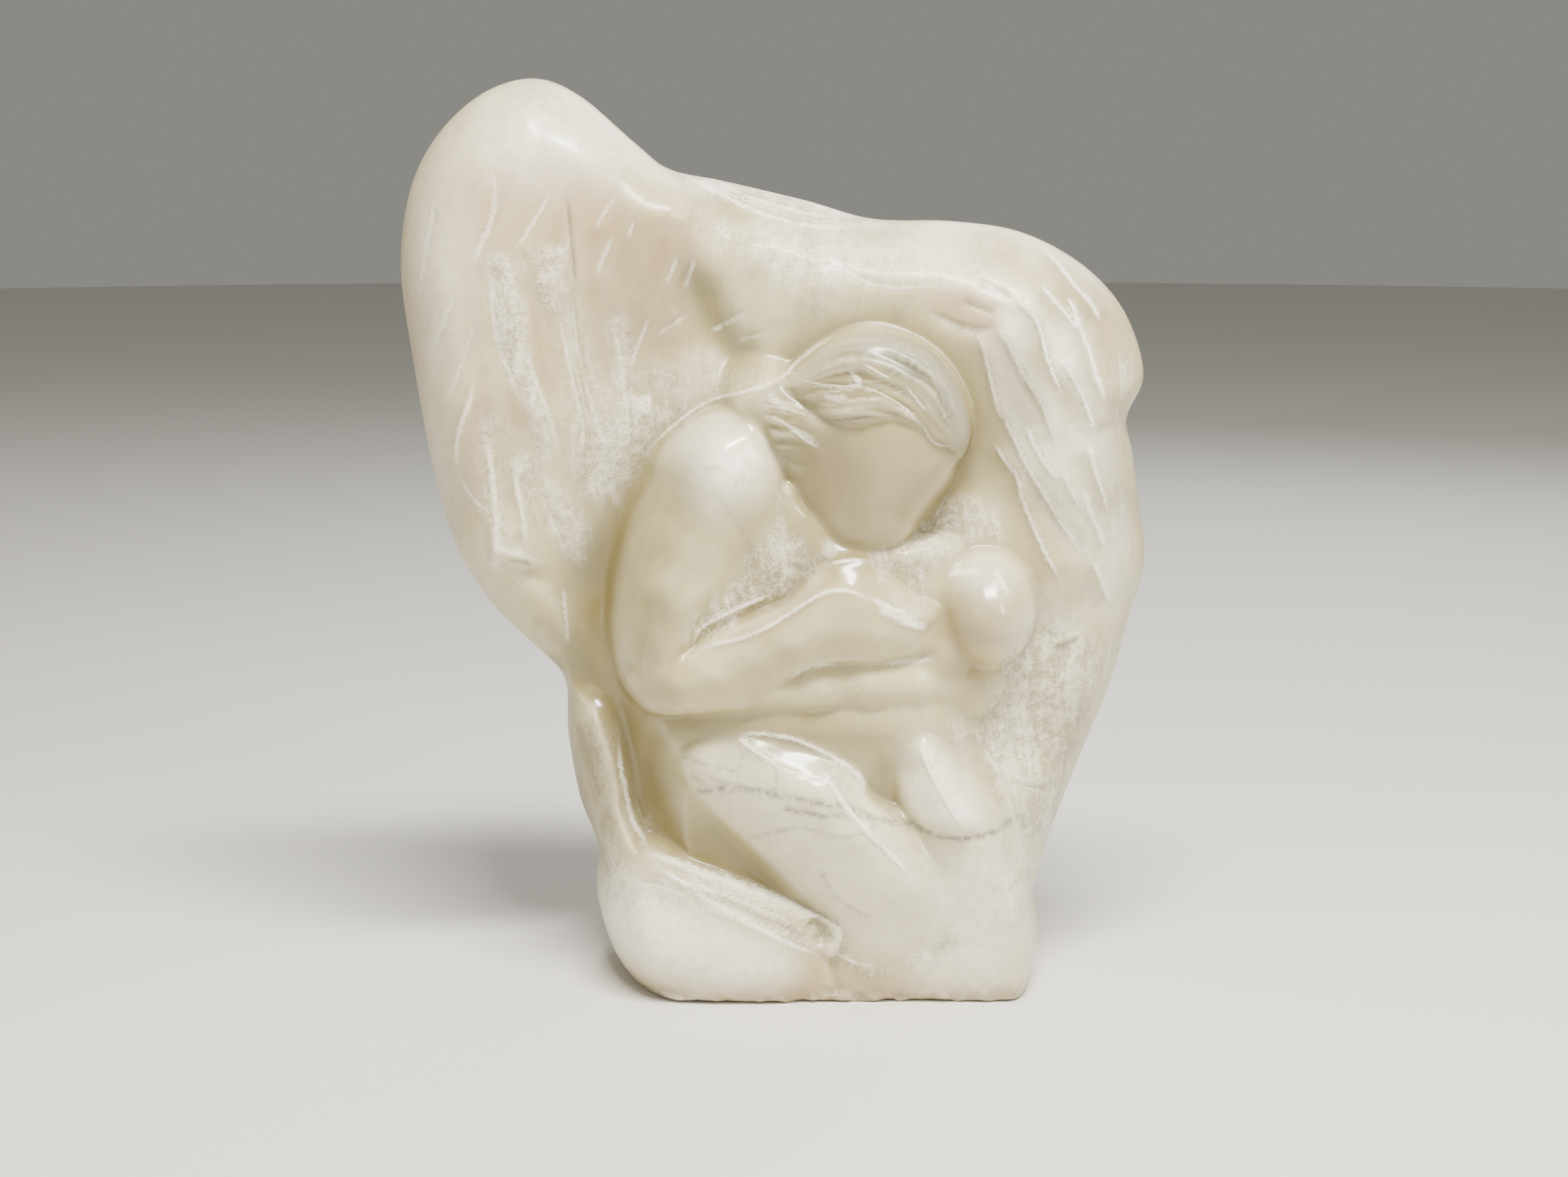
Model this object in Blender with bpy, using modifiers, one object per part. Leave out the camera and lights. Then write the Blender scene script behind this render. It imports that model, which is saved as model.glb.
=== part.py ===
"""Madonna and child, carved in one block of alabaster.

A seated woman, her head bowed, holds a child against her knees. Both sit in a hollow of the
block they are cut from: a tall hood of stone stands over them at the left (-X), a rounded
shoulder of stone closes the right (+X), and the block narrows to a flat sawn underside.

Frame: metres, +Z up, the carved face looks along -Y, origin at the bottom centre of the block.
The whole work is one piece, so it is one node.
"""

import math

import bmesh
import bpy
import numpy as np
from mathutils import Vector

MM = 0.001

# ---------------------------------------------------------------- driving dimensions

BLOCK_FRONT = 24 * MM  # flat of the rough block in front of its middle plane
BLOCK_BACK = 40 * MM  # and behind it
BLOCK_ROUNDING = 20 * MM  # radius worn on the block's edges
ROUGH_VOXEL = 4 * MM  # grain of the roughed-out block
CARVED_VOXEL = 2 * MM  # grain of the finished carving
BLOCK_DRESSING = 16  # passes that run the masses of the block into each other
FIGURE_DRESSING = 9  # passes that run the figures into the block
STROKE_DRESSING = 2  # passes that take the sharpness off the tool strokes
FACE_BUDGET = 9400  # triangles left in the finished solid
UNDERSIDE_Z = 0.0  # the saw cut

# The block's outline in the XZ plane, in mm, from the left end of the underside round the hood.
OUTLINE = (
    (-57, -8), (-70, 10), (-77, 34), (-76, 54), (-84, 76), (-88.5, 103), (-89.5, 126),
    (-100, 139), (-119, 158), (-134, 183), (-143, 214), (-151, 262), (-155.5, 302),
    (-151, 334), (-139, 357), (-120, 374), (-99, 380), (-80, 373), (-57, 353.5), (-43, 343),
    (-20, 338), (14, 330), (42, 322.5), (75, 321.5), (104, 317), (130, 303.5), (148, 284),
    (157, 258), (152.5, 232), (156.5, 202), (159, 178), (152, 151), (145, 124), (132, 90),
    (120, 58), (113.5, 37), (115, 18), (110, -8),
)  # fmt: skip

# Masses of stone left standing on the block: centre (x, y, z) and radii, in mm.
MASSES = {
    "hood": ((-104, 0, 288), (51, 46, 90)),
    "hood_edge": ((-112, 0, 236), (36, 42, 84)),
    "hood_tip": ((-94, 0, 178), (34, 36, 52)),
    "crest": ((14, 0, 294), (108, 40, 36)),
    "right_shoulder": ((92, 0, 262), (66, 52, 60)),
    "right_side": ((110, 0, 186), (46, 50, 126)),
    "right_hip": ((98, 0, 84), (34, 48, 84)),
    "behind_figures": ((16, 0, 176), (86, 42, 126)),
    "back": ((6, 4, 176), (118, 50, 156)),
    "seat": ((24, 0, 62), (92, 53, 118)),
    "foot_of_block": ((22, 0, 16), (88, 54, 48)),
}

# Hollows cut into the face of the block: centre and radii, in mm.
HOLLOWS = {
    "hood_hollow": ((-62, -70, 230), (38, 42, 78)),
    "beside_shoulder": ((-62, -50, 166), (22, 27, 60)),
    "lap_hollow": ((-50, -60, 88), (24, 38, 42)),
    "waist_hollow": ((10, -68, 115), (68, 20, 10)),
    "above_head": ((-14, -52, 272), (19, 24, 18)),
    "right_of_head": ((88, -78, 214), (26, 36, 50)),
    "chip": ((-100, -46, 177), (15, 13, 5)),
}

# Rounded forms of the figures: centre, radii and turn about Y in degrees.
ROUNDS = {
    "mother_hair": ((42, -35, 241), (39, 42, 36), 0),
    "mother_head": ((41, -36, 229), (33, 38, 42), 0),
    "mother_shoulder": ((-20, -44, 221), (22, 28, 23), 14),
    "mother_chest": ((8, -17, 190), (48, 43, 48), 0),
    "child_head": ((88, -48, 165), (21, 29, 26), 0),
    "child_body": ((84, -34, 138), (24, 24, 22), 0),
    "lap": ((34, -12, 70), (62, 46, 54), 0),
    "thighs": ((22, -22, 108), (56, 37, 24), 0),
    "below_knees": ((72, -24, 36), (38, 38, 40), 0),
}

# Limbs and rolls of stone: a run of (x, y, z, radius), in mm, rounded at both ends.
LIMBS = {
    "upper_arm": ((-20, -44, 220, 21), (-30, -46, 198, 25), (-40, -44, 172, 26.5),
                  (-46, -44, 150, 22), (-48, -44, 139, 18)),
    "forearm": ((-48, -44, 138, 17), (-26, -51, 138, 16.5), (0, -57, 148, 16),
                (26, -60, 162, 16), (46, -58, 159, 14), (63, -53, 154, 12)),
    "far_arm": ((-30, -45, 131, 11), (-6, -50, 131, 12), (20, -52, 132, 13),
                (46, -51, 133, 13), (66, -46, 133, 12)),
    "neck_hair": ((20, -40, 262, 10), (9, -42, 251, 11), (11, -44, 235, 12), (18, -42, 216, 10)),
    "near_leg": ((-14, -42, 95, 16), (4, -47, 85, 20), (22, -50, 72, 21), (38, -49, 52, 22),
                 (48, -44, 32, 22)),
    "near_leg_flank": ((-16, -36, 87, 16), (2, -38, 71, 20), (18, -40, 53, 22), (34, -39, 34, 22)),
    "shin_ridge": ((-10, -51, 102, 10), (6, -57, 96, 12), (25, -61, 84, 13), (43, -62, 68, 13),
                   (55, -58, 48, 12)),
    "far_knee": ((64, -38, 96, 18), (72, -44, 82, 20), (82, -40, 54, 22), (88, -38, 22, 23)),
    "far_shin_ridge": ((62, -48, 102, 9), (69, -54, 92, 10), (77, -56, 79, 9)),
    "folded_foot": ((-56, -38, 31, 22), (-38, -43, 30, 24), (-12, -46, 20, 21), (12, -46, 10, 16),
                    (28, -44, 2, 11)),
    "seat_ledge": ((-60, -34, 56, 9), (-27, -42, 47, 9), (3, -46, 39, 9), (28, -48, 31, 8)),
    "front_of_base": ((36, -42, 10, 18), (66, -42, 10, 20), (96, -38, 12, 16)),
    "left_rim": ((-80, -16, 128, 10), (-78, -20, 104, 10), (-73, -22, 80, 10), (-66, -28, 60, 9)),
}  # fmt: skip

# The opening of the hair round the blank face: centre and radii, in mm.
FACE_OPENING = ((46, -84, 210), (30, 72, 38))

# Sweeps of parallel tool strokes on the face of the block, in the XZ plane, in mm. Each runs
# from the line of starts to the line of ends, bowed sideways, at one width and depth.
SWEEPS = {
    "right_locks": dict(starts=((82, 274), (136, 300)), ends=((116, 150), (157, 214)),
                        count=6, bow=5, width=3.2, depth=1.9),
    "right_trail": dict(starts=((118, 178), (146, 196)), ends=((112, 96), (138, 118)),
                        count=4, bow=3, width=3.0, depth=1.5),
    "hood_locks": dict(starts=((-104, 300), (-80, 292)), ends=((-82, 196), (-66, 214)),
                       count=4, bow=-4, width=3.4, depth=1.7),
    "hood_edge": dict(starts=((-140, 318), (-124, 250)), ends=((-146, 276), (-131, 214)),
                      count=4, bow=2, width=3.0, depth=1.5),
    "crest_locks": dict(starts=((-34, 334), (-20, 330)), ends=((20, 306), (40, 314)),
                        count=3, bow=4, width=2.8, depth=1.5),
    "hair_locks": dict(starts=((3, 258), (4, 250)), ends=((70, 250), (76, 224)),
                       count=5, bow=-17, width=2.6, depth=1.7),
}  # fmt: skip
STROKE_POINTS = 14  # straight steps that a bowed stroke is drawn with


def clear_scene():
    for obj in list(bpy.data.objects):
        bpy.data.objects.remove(obj, do_unlink=True)


def place(bm, source):
    """Adds a source object's evaluated mesh to bm, in world space."""
    graph = bpy.context.evaluated_depsgraph_get()
    mesh = bpy.data.meshes.new_from_object(source.evaluated_get(graph))
    mesh.transform(source.matrix_world)
    bm.from_mesh(mesh)
    bpy.data.meshes.remove(mesh)


def object_from(bm, name, collection):
    mesh = bpy.data.meshes.new(name)
    bm.to_mesh(mesh)
    bm.free()
    obj = bpy.data.objects.new(name, mesh)
    collection.objects.link(obj)
    return obj


def baked(obj):
    """Replaces the object's mesh with what its modifiers make of it."""
    bm = bmesh.new()
    place(bm, obj)
    obj.modifiers.clear()
    old = obj.data
    obj.data = bpy.data.meshes.new(obj.name)
    bm.to_mesh(obj.data)
    bm.free()
    bpy.data.meshes.remove(old)
    return obj


def curve_object(name, dimensions, points, radii=None, cyclic=False):
    """A smooth Bezier curve through points, each of two or three numbers in mm."""
    curve = bpy.data.curves.new(name, "CURVE")
    curve.dimensions = dimensions
    spline = curve.splines.new("BEZIER")
    spline.bezier_points.add(len(points) - 1)
    for index, (knot, point) in enumerate(zip(spline.bezier_points, points)):
        knot.co = Vector((*point, 0)[:3]) * MM
        knot.handle_left_type = knot.handle_right_type = "AUTO"
        if radii:
            knot.radius = radii[index]
    spline.use_cyclic_u = cyclic
    obj = bpy.data.objects.new(name, curve)
    bpy.context.scene.collection.objects.link(obj)
    return obj


def add_slab(bm):
    """The rough block: the outline, thickened, with its edges worn round."""
    slab = curve_object("slab", "2D", OUTLINE, cyclic=True)
    slab.data.fill_mode = "BOTH"
    slab.data.resolution_u = 6
    slab.data.bevel_depth = BLOCK_ROUNDING
    slab.data.bevel_resolution = 4
    slab.data.offset = -BLOCK_ROUNDING
    slab.data.extrude = (BLOCK_FRONT + BLOCK_BACK) / 2 - BLOCK_ROUNDING
    slab.rotation_euler = (math.radians(90), 0, 0)
    slab.location.y = (BLOCK_BACK - BLOCK_FRONT) / 2
    bpy.context.view_layer.update()
    place(bm, slab)
    bpy.data.objects.remove(slab)


def add_ellipsoid(bm, centre, radii, turn=0):
    """An ellipsoid turned about Y by turn degrees."""
    made = bmesh.ops.create_uvsphere(bm, u_segments=32, v_segments=16, radius=1)
    bmesh.ops.scale(bm, vec=Vector(radii) * MM, verts=made["verts"])
    about_y = Vector((0, 0, 1)).rotation_difference(
        Vector((math.sin(math.radians(turn)), 0, math.cos(math.radians(turn))))
    )
    bmesh.ops.rotate(bm, matrix=about_y.to_matrix(), verts=made["verts"])
    bmesh.ops.translate(bm, vec=Vector(centre) * MM, verts=made["verts"])


def add_limb(bm, run):
    """A round form of changing thickness along a smooth curve, with round ends."""
    radii = [radius for *_, radius in run]
    limb = curve_object("limb", "3D", [point[:3] for point in run], radii)
    limb.data.bevel_depth = MM
    limb.data.bevel_resolution = 6
    limb.data.resolution_u = 6
    limb.data.use_fill_caps = True
    bpy.context.view_layer.update()
    place(bm, limb)
    bpy.data.objects.remove(limb)
    for *centre, radius in (run[0], run[-1]):
        add_ellipsoid(bm, centre, (radius,) * 3)


def fuse(obj, voxel):
    """Makes overlapping shapes one skin."""
    remesh = obj.modifiers.new("fuse", "REMESH")
    remesh.mode = "VOXEL"
    remesh.voxel_size = voxel
    return baked(obj)


def cut(obj, cutters):
    for cutter in cutters:
        boolean = obj.modifiers.new(cutter.name, "BOOLEAN")
        boolean.operation = "DIFFERENCE"
        boolean.object = cutter
    return baked(obj)


def cutter_object(name, centre, radii, collection):
    bm = bmesh.new()
    add_ellipsoid(bm, centre, radii)
    cutter = object_from(bm, name, collection)
    cutter.hide_render = True
    cutter.display_type = "WIRE"
    return cutter


def rough_block(pieces, cutters):
    """The block with its masses left standing and its hollows cut."""
    bm = bmesh.new()
    add_slab(bm)
    for centre, radii in MASSES.values():
        add_ellipsoid(bm, centre, radii)
    block = fuse(object_from(bm, "madonna_and_child", pieces), ROUGH_VOXEL)
    hollows = [cutter_object(name, *sizes, cutters) for name, sizes in HOLLOWS.items()]
    block = fuse(cut(block, hollows), ROUGH_VOXEL)
    return dress(block, BLOCK_DRESSING)


def hair_cap(pieces, cutters):
    """The hair, cut back where the face shows."""
    bm = bmesh.new()
    centre, radii, turn = ROUNDS["mother_hair"]
    add_ellipsoid(bm, centre, radii, turn)
    cap = object_from(bm, "hair_cap", pieces)
    return cut(cap, [cutter_object("face_opening", *FACE_OPENING, cutters)])


def carve_figures(block, pieces, cutters):
    """Adds the figures to the block and fuses all of it into one skin."""
    bm = bmesh.new()
    place(bm, block)
    cap = hair_cap(pieces, cutters)
    place(bm, cap)
    bpy.data.objects.remove(cap)
    for name, (centre, radii, turn) in ROUNDS.items():
        if name != "mother_hair":
            add_ellipsoid(bm, centre, radii, turn)
    for run in LIMBS.values():
        add_limb(bm, run)
    bm.to_mesh(block.data)
    bm.free()
    return fuse(block, CARVED_VOXEL)


def strokes_of(sweep):
    """The sweep's strokes, each as an array of points in the XZ plane."""
    along = np.linspace(0, 1, STROKE_POINTS)[:, None]
    for share in np.linspace(0, 1, sweep["count"]):
        start, end = (
            np.array(line[0]) * (1 - share) + np.array(line[1]) * share
            for line in (sweep["starts"], sweep["ends"])
        )
        run = end - start
        sideways = np.array((run[1], -run[0])) / np.linalg.norm(run)
        bow = sweep["bow"] * np.sin(math.pi * along)
        yield (start + run * along + sideways * bow) * MM


def distance_to(points, line):
    """Each point's distance to a run of straight steps, in the plane."""
    nearest = np.full(len(points), np.inf)
    for start, end in zip(line[:-1], line[1:]):
        step = end - start
        share = np.clip((points - start) @ step / (step @ step), 0, 1)
        gap = np.linalg.norm(points - start - share[:, None] * step, axis=1)
        nearest = np.minimum(nearest, gap)
    return nearest


def draw_strokes(obj):
    """Sinks every sweep of strokes into the side that faces -Y."""
    mesh = obj.data
    places = np.empty(len(mesh.vertices) * 3, np.float32)
    normals = np.empty(len(mesh.vertices) * 3, np.float32)
    mesh.vertices.foreach_get("co", places)
    mesh.vertices.foreach_get("normal", normals)
    places, normals = places.reshape(-1, 3), normals.reshape(-1, 3)
    facing = np.clip(-normals[:, 1], 0, 1)
    for sweep in SWEEPS.values():
        for line in strokes_of(sweep):
            gap = distance_to(places[:, [0, 2]], line) / (sweep["width"] * MM)
            places -= normals * (facing * sweep["depth"] * MM * np.exp(-(gap**2)))[:, None]
    mesh.vertices.foreach_set("co", places.ravel())
    mesh.update()


def dress(obj, passes):
    """Rounds the hollow and raised corners of the stone."""
    smooth = obj.modifiers.new("dress", "SMOOTH")
    smooth.factor = 0.5
    smooth.iterations = passes
    return baked(obj)


def thin_out(obj):
    """Leaves no more faces than the budget, most of them where the form turns."""
    decimate = obj.modifiers.new("thin_out", "DECIMATE")
    triangles = sum(len(face.vertices) - 2 for face in obj.data.polygons)
    decimate.ratio = FACE_BUDGET / triangles
    decimate.use_collapse_triangulate = True
    return baked(obj)


def saw_underside(obj):
    """Cuts the block off flat at the underside and closes the cut."""
    bm = bmesh.new()
    bm.from_mesh(obj.data)
    everything = bm.verts[:] + bm.edges[:] + bm.faces[:]
    bmesh.ops.bisect_plane(
        bm,
        geom=everything,
        plane_co=(0, 0, UNDERSIDE_Z),
        plane_no=(0, 0, -1),
        clear_outer=True,
    )
    rim = [edge for edge in bm.edges if edge.is_boundary]
    bmesh.ops.contextual_create(bm, geom=rim)
    bmesh.ops.recalc_face_normals(bm, faces=bm.faces[:])
    bm.to_mesh(obj.data)
    bm.free()


def centre(obj):
    """Moves the mesh so that the origin is at its bottom centre."""
    corners = [Vector(corner) for corner in obj.bound_box]
    middle = (corners[0] + corners[6]) / 2
    for vertex in obj.data.vertices:
        vertex.co -= Vector((middle.x, middle.y, 0))
    obj.data.update()


def alabaster():
    material = bpy.data.materials.new("alabaster")
    material.use_nodes = True
    stone = material.node_tree.nodes["Principled BSDF"]
    stone.inputs["Base Color"].default_value = (0.72, 0.67, 0.55, 1)
    stone.inputs["Roughness"].default_value = 0.32
    stone.inputs["Metallic"].default_value = 0
    return material


def main():
    clear_scene()
    pieces = bpy.data.collections.new("madonna and child")
    cutters = bpy.data.collections.new("cutters")
    for collection in (pieces, cutters):
        bpy.context.scene.collection.children.link(collection)
    statue = rough_block(pieces, cutters)
    statue = carve_figures(statue, pieces, cutters)
    dress(statue, FIGURE_DRESSING)
    draw_strokes(statue)
    dress(statue, STROKE_DRESSING)
    thin_out(statue)
    saw_underside(statue)
    centre(statue)
    statue.data.materials.append(alabaster())
    statue.data.shade_smooth()


main()
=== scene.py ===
import math

import bpy
import numpy as np
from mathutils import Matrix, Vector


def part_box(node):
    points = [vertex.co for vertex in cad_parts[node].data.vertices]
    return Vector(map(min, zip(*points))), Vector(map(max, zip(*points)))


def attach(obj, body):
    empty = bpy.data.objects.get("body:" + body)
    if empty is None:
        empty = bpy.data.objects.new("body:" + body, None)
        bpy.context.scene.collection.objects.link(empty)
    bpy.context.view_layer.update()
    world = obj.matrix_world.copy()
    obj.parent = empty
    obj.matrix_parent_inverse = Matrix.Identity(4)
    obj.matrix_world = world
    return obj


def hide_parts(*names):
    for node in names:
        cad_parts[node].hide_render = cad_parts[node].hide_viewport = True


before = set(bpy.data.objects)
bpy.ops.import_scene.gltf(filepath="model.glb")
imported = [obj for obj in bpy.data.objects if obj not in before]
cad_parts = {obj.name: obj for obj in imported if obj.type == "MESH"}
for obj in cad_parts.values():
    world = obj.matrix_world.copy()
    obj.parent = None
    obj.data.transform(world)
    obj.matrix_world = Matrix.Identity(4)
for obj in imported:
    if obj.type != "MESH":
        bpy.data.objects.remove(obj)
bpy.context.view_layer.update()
print("frame loaded")

mm = 0.001
lowCorner, highCorner = (np.array(corner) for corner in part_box("madonna_and_child"))

# the carving is planned in millimetres on an upright plane: x to the right, z up from the underside,
# and the front stands out towards -y

blockPlan = {
    "outline": [  # x, z, and how wide the edge rounds over
        (-57, -8, 24), (-70, 10, 24), (-77, 34, 24), (-76, 54, 20), (-84, 76, 18), (-88.5, 103, 18),
        (-89.5, 126, 20), (-100, 139, 24), (-119, 158, 26), (-134, 183, 26), (-143, 214, 26),
        (-151, 262, 26), (-155.5, 302, 26), (-151, 334, 28), (-139, 357, 28), (-120, 374, 28),
        (-99, 380, 30), (-80, 373, 44), (-57, 353.5, 44), (-43, 343, 36), (-20, 338, 24), (14, 330, 22),
        (42, 322.5, 24), (75, 321.5, 28), (104, 317, 32), (130, 303.5, 34), (148, 284, 34), (156.5, 258, 30),
        (149.5, 240, 22), (152.5, 225, 26), (156, 202, 30), (159, 178, 30), (152, 151, 28), (145, 124, 28),
        (132, 90, 26), (120, 58, 20), (113.5, 37, 14), (115, 18, 12), (110, -8, 12)],
    "topLeft": 14,  # rows of the outline where the two upper corners of the grid sit
    "topRight": 25,
    "frontSoft": 10,  # mm round each point over which the front and the back run smooth
    "backSoft": 20,
    "front": [  # x, z, height of the dressed stone in front of the middle plane
        (-99, 372, 30), (-125, 352, 36), (-146, 318, 36), (-148, 270, 38), (-112, 325, 44), (-84, 358, 42),
        (-70, 350, 44), (-66, 332, 42), (-40, 333, 41), (-42, 318, 40), (-118, 290, 47), (-90, 306, 45),
        (-62, 304, 39), (-130, 240, 45), (-108, 252, 47), (-92, 262, 43), (-84, 236, 36), (-66, 268, 31),
        (-44, 296, 35), (-126, 205, 42), (-108, 208, 43), (-92, 208, 37), (-76, 214, 30), (-56, 250, 29),
        (-58, 228, 30), (-114, 180, 42), (-100, 190, 39), (-88, 186, 31), (-110, 164, 32), (-94, 156, 27),
        (-86, 136, 24), (-80, 170, 24), (-40, 272, 29), (-30, 252, 36), (-20, 330, 27), (10, 322, 30),
        (40, 314, 35), (-8, 310, 38), (8, 298, 41), (-24, 300, 36), (0, 284, 40), (22, 296, 43),
        (54, 300, 43), (80, 312, 37), (4, 266, 38), (14, 280, 40), (48, 288, 42), (84, 282, 46),
        (92, 262, 45), (86, 236, 40), (82, 214, 38), (110, 298, 46), (138, 278, 38), (112, 262, 53),
        (138, 250, 45), (108, 222, 50), (134, 218, 48), (150, 206, 36), (104, 196, 46), (122, 180, 49),
        (148, 172, 35), (112, 160, 45), (130, 150, 42), (106, 138, 44), (126, 124, 40), (104, 112, 44),
        (124, 98, 36), (106, 86, 53), (118, 66, 38), (108, 56, 50), (0, 200, 42), (40, 160, 46),
        (10, 170, 46), (78, 196, 46), (60, 176, 50), (0, 120, 61), (50, 116, 64), (84, 116, 53),
        (30, 108, 62), (-20, 117, 56), (46, 100, 58), (20, 60, 48), (70, 60, 54), (-84, 118, 32),
        (-81, 100, 34), (-78, 80, 36), (-73, 66, 40), (-62, 62, 44), (-40, 60, 44), (-10, 50, 48),
        (-66, 40, 50), (-48, 24, 60), (-20, 14, 60), (10, 8, 60), (40, 10, 60), (70, 10, 60),
        (100, 14, 58), (106, 34, 52), (92, 40, 58), (60, 36, 60)],
    "back": [  # x, z, depth of the stone behind the middle plane
        (-100, 372, 26), (-140, 330, 34), (-96, 330, 40), (-60, 335, 32), (-146, 280, 34), (-100, 280, 46),
        (-40, 300, 38), (20, 316, 32), (80, 312, 34), (20, 280, 42), (90, 280, 46), (140, 270, 38),
        (-130, 220, 38), (-80, 220, 48), (0, 220, 50), (80, 220, 52), (140, 210, 42), (-110, 170, 34),
        (-60, 160, 46), (20, 150, 52), (90, 150, 50), (140, 140, 38), (-80, 110, 34), (-30, 90, 48),
        (50, 80, 52), (110, 90, 42), (-70, 40, 40), (-20, 20, 50), (60, 20, 52), (108, 20, 44)],
}

columnsFront, rowsFront = 264, 294  # even numbers, because the back has half as many
gridStep = 0.6  # mm between the sample points of the height map


def curveThrough(points, steps=6, closed=False):
    # a Catmull-Rom curve: a cubic through each pair of neighbours whose slope at a point is half the way
    # from the point before it to the point after it
    p = np.array(points, float)
    p = np.vstack([p[-1], p, p[:2]]) if closed else np.vstack([2 * p[0] - p[1], p, 2 * p[-1] - p[-2]])
    a, b, c, d = p[:-3, None], p[1:-2, None], p[2:-1, None], p[3:, None]
    t = np.linspace(0, 1, steps, endpoint=False)[None, :, None]
    bend = (2 * a - 5 * b + 4 * c - d) * t**2 + (3 * b - a - 3 * c + d) * t**3
    curve = (b + 0.5 * ((c - a) * t + bend)).reshape(-1, p.shape[1])
    return np.vstack([curve, curve[:1]]) if closed else np.vstack([curve, p[-2]])


def nearestOnLine(x, z, line):
    # each point is projected onto every stretch of the line in turn, and the nearest is kept: the offset
    # across it (positive on its left), the overshoot past its ends, and the place on it
    best = np.full(x.shape, np.inf)
    across, beyond, place = np.zeros(x.shape), np.zeros(x.shape), np.zeros(x.shape)
    for i in range(len(line) - 1):
        (sx, sz), (ex, ez) = line[i, :2], line[i + 1, :2]
        length = np.hypot(ex - sx, ez - sz) + 1e-9
        ux, uz = (ex - sx) / length, (ez - sz) / length
        run = (x - sx) * ux + (z - sz) * uz
        t = np.clip(run, 0, length)
        side = (z - sz) * ux - (x - sx) * uz
        past = run - t
        gap = side**2 + past**2
        near = gap < best
        best[near] = gap[near]
        across[near] = side[near]
        beyond[near] = past[near]
        place[near] = i + t[near] / length
    return across, beyond, place


def columnAt(line, place, column):  # one column of the line's rows, read straight between two neighbours
    return np.interp(place, np.arange(len(line)), line[:, column])


def insideOf(x, z, line):  # crossings of the line to the right, counted odd or even
    inside = np.zeros(x.shape, bool)
    for (x1, z1), (x2, z2) in zip(line[:-1, :2], line[1:, :2]):
        if z1 != z2:
            inside ^= ((z1 > z) != (z2 > z)) & (x < (x2 - x1) * (z - z1) / (z2 - z1) + x1)
    return inside


def smoothMax(a, b, k):
    # the larger, plus a fillet: the square of how much nearer than k the two are, over 4 k
    return np.maximum(a, b) + np.clip(k - np.abs(a - b), 0, None) ** 2 / (4 * k)


def ramp(value, low, high):  # 0 below low, 1 above high, between them three squares less two cubes
    t = np.clip((value - low) / (high - low), 0, 1)
    return t * t * (3 - 2 * t)


def dome(q):  # a quarter circle from 1 down, carried on straight where it gets steep
    edge = 0.95
    foot = math.sqrt(1 - edge * edge)
    return np.where(q < edge, np.sqrt(np.clip(1 - q * q, 0, 1)), foot - (q - edge) * edge / foot)


def egg(x, z, centre, top, radii, deep, turn):
    # half an ellipsoid standing out of the plane: the top, less what a quarter circle has fallen by the
    # distance from the centre, which is turned and counted in radii
    a = math.radians(turn)
    u = (x - centre[0]) * math.cos(a) - (z - centre[1]) * math.sin(a)
    v = (x - centre[0]) * math.sin(a) + (z - centre[1]) * math.cos(a)
    return top - deep * (1 - dome(np.hypot(u / radii[0], v / radii[1])))


def skin(x, z, points, soft):
    # a smooth surface through points of x, z, height: a weighted sum of the distances to them,
    # each softened near its point, with the weights solved so that every point is met
    p = np.array(points, float)
    gaps = np.sqrt((p[:, None, 0] - p[:, 0]) ** 2 + (p[:, None, 1] - p[:, 1]) ** 2 + soft**2)
    middle = p[:, 2].mean()
    pulls = np.linalg.solve(gaps, p[:, 2] - middle)
    height = np.full(x.shape, middle)
    for (px, pz, _), pull in zip(p, pulls):
        height += pull * np.sqrt((x - px) ** 2 + (z - pz) ** 2 + soft**2)
    return height


def inwardFrom(x, z, line):  # distance to a closed line, positive inside it, and the place on it
    across, beyond, place = nearestOnLine(x, z, line)
    gap = np.hypot(across, beyond)
    return np.where(insideOf(x, z, line), gap, -gap), place


def pillow(x, z, form):
    # a skin whose rim rolls over: it is lowered by the drop of the rim, times what a quarter circle has
    # fallen between the inner end of the roll and its outline; rim rows: x, z, width of the roll, its drop
    line = curveThrough(form["rim"], 5, closed=True)
    inward, place = inwardFrom(x, z, line)
    radius, drop = columnAt(line, place, 2), columnAt(line, place, 3)
    return skin(x, z, form["points"], form["soft"]) - drop * (1 - dome(np.clip(1 - inward / radius, 0, None)))

# height map of the front

gridX, gridZ = np.meshgrid(np.arange(-165, 169, gridStep), np.arange(-12, 390, gridStep))
sideLine = curveThrough(blockPlan["outline"], 6)
sideLine = np.vstack([sideLine[0] + (0, -60, 0), sideLine, sideLine[-1] + (0, -60, 0)])


def sampleGrid(image, x, z):  # a height map at any x and z: the four grid values around it, weighted by nearness
    column = np.clip((x - gridX[0, 0]) / gridStep, 0, image.shape[1] - 1.001)
    row = np.clip((z - gridZ[0, 0]) / gridStep, 0, image.shape[0] - 1.001)
    c, r = column.astype(int), row.astype(int)
    fc, fr = column - c, row - r
    low = image[r, c] * (1 - fc) + image[r, c + 1] * fc
    high = image[r + 1, c] * (1 - fc) + image[r + 1, c + 1] * fc
    return low * (1 - fr) + high * fr


def windowAround(points, margin):  # the part of the grid around some x, z points
    p = np.array([row[:2] for row in points], float)
    (x0, z0), (x1, z1) = p.min(0) - margin, p.max(0) + margin
    columns = slice(max(int((x0 - gridX[0, 0]) / gridStep), 0), int((x1 - gridX[0, 0]) / gridStep) + 1)
    rows = slice(max(int((z0 - gridZ[0, 0]) / gridStep), 0), int((z1 - gridZ[0, 0]) / gridStep) + 1)
    return rows, columns


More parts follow.
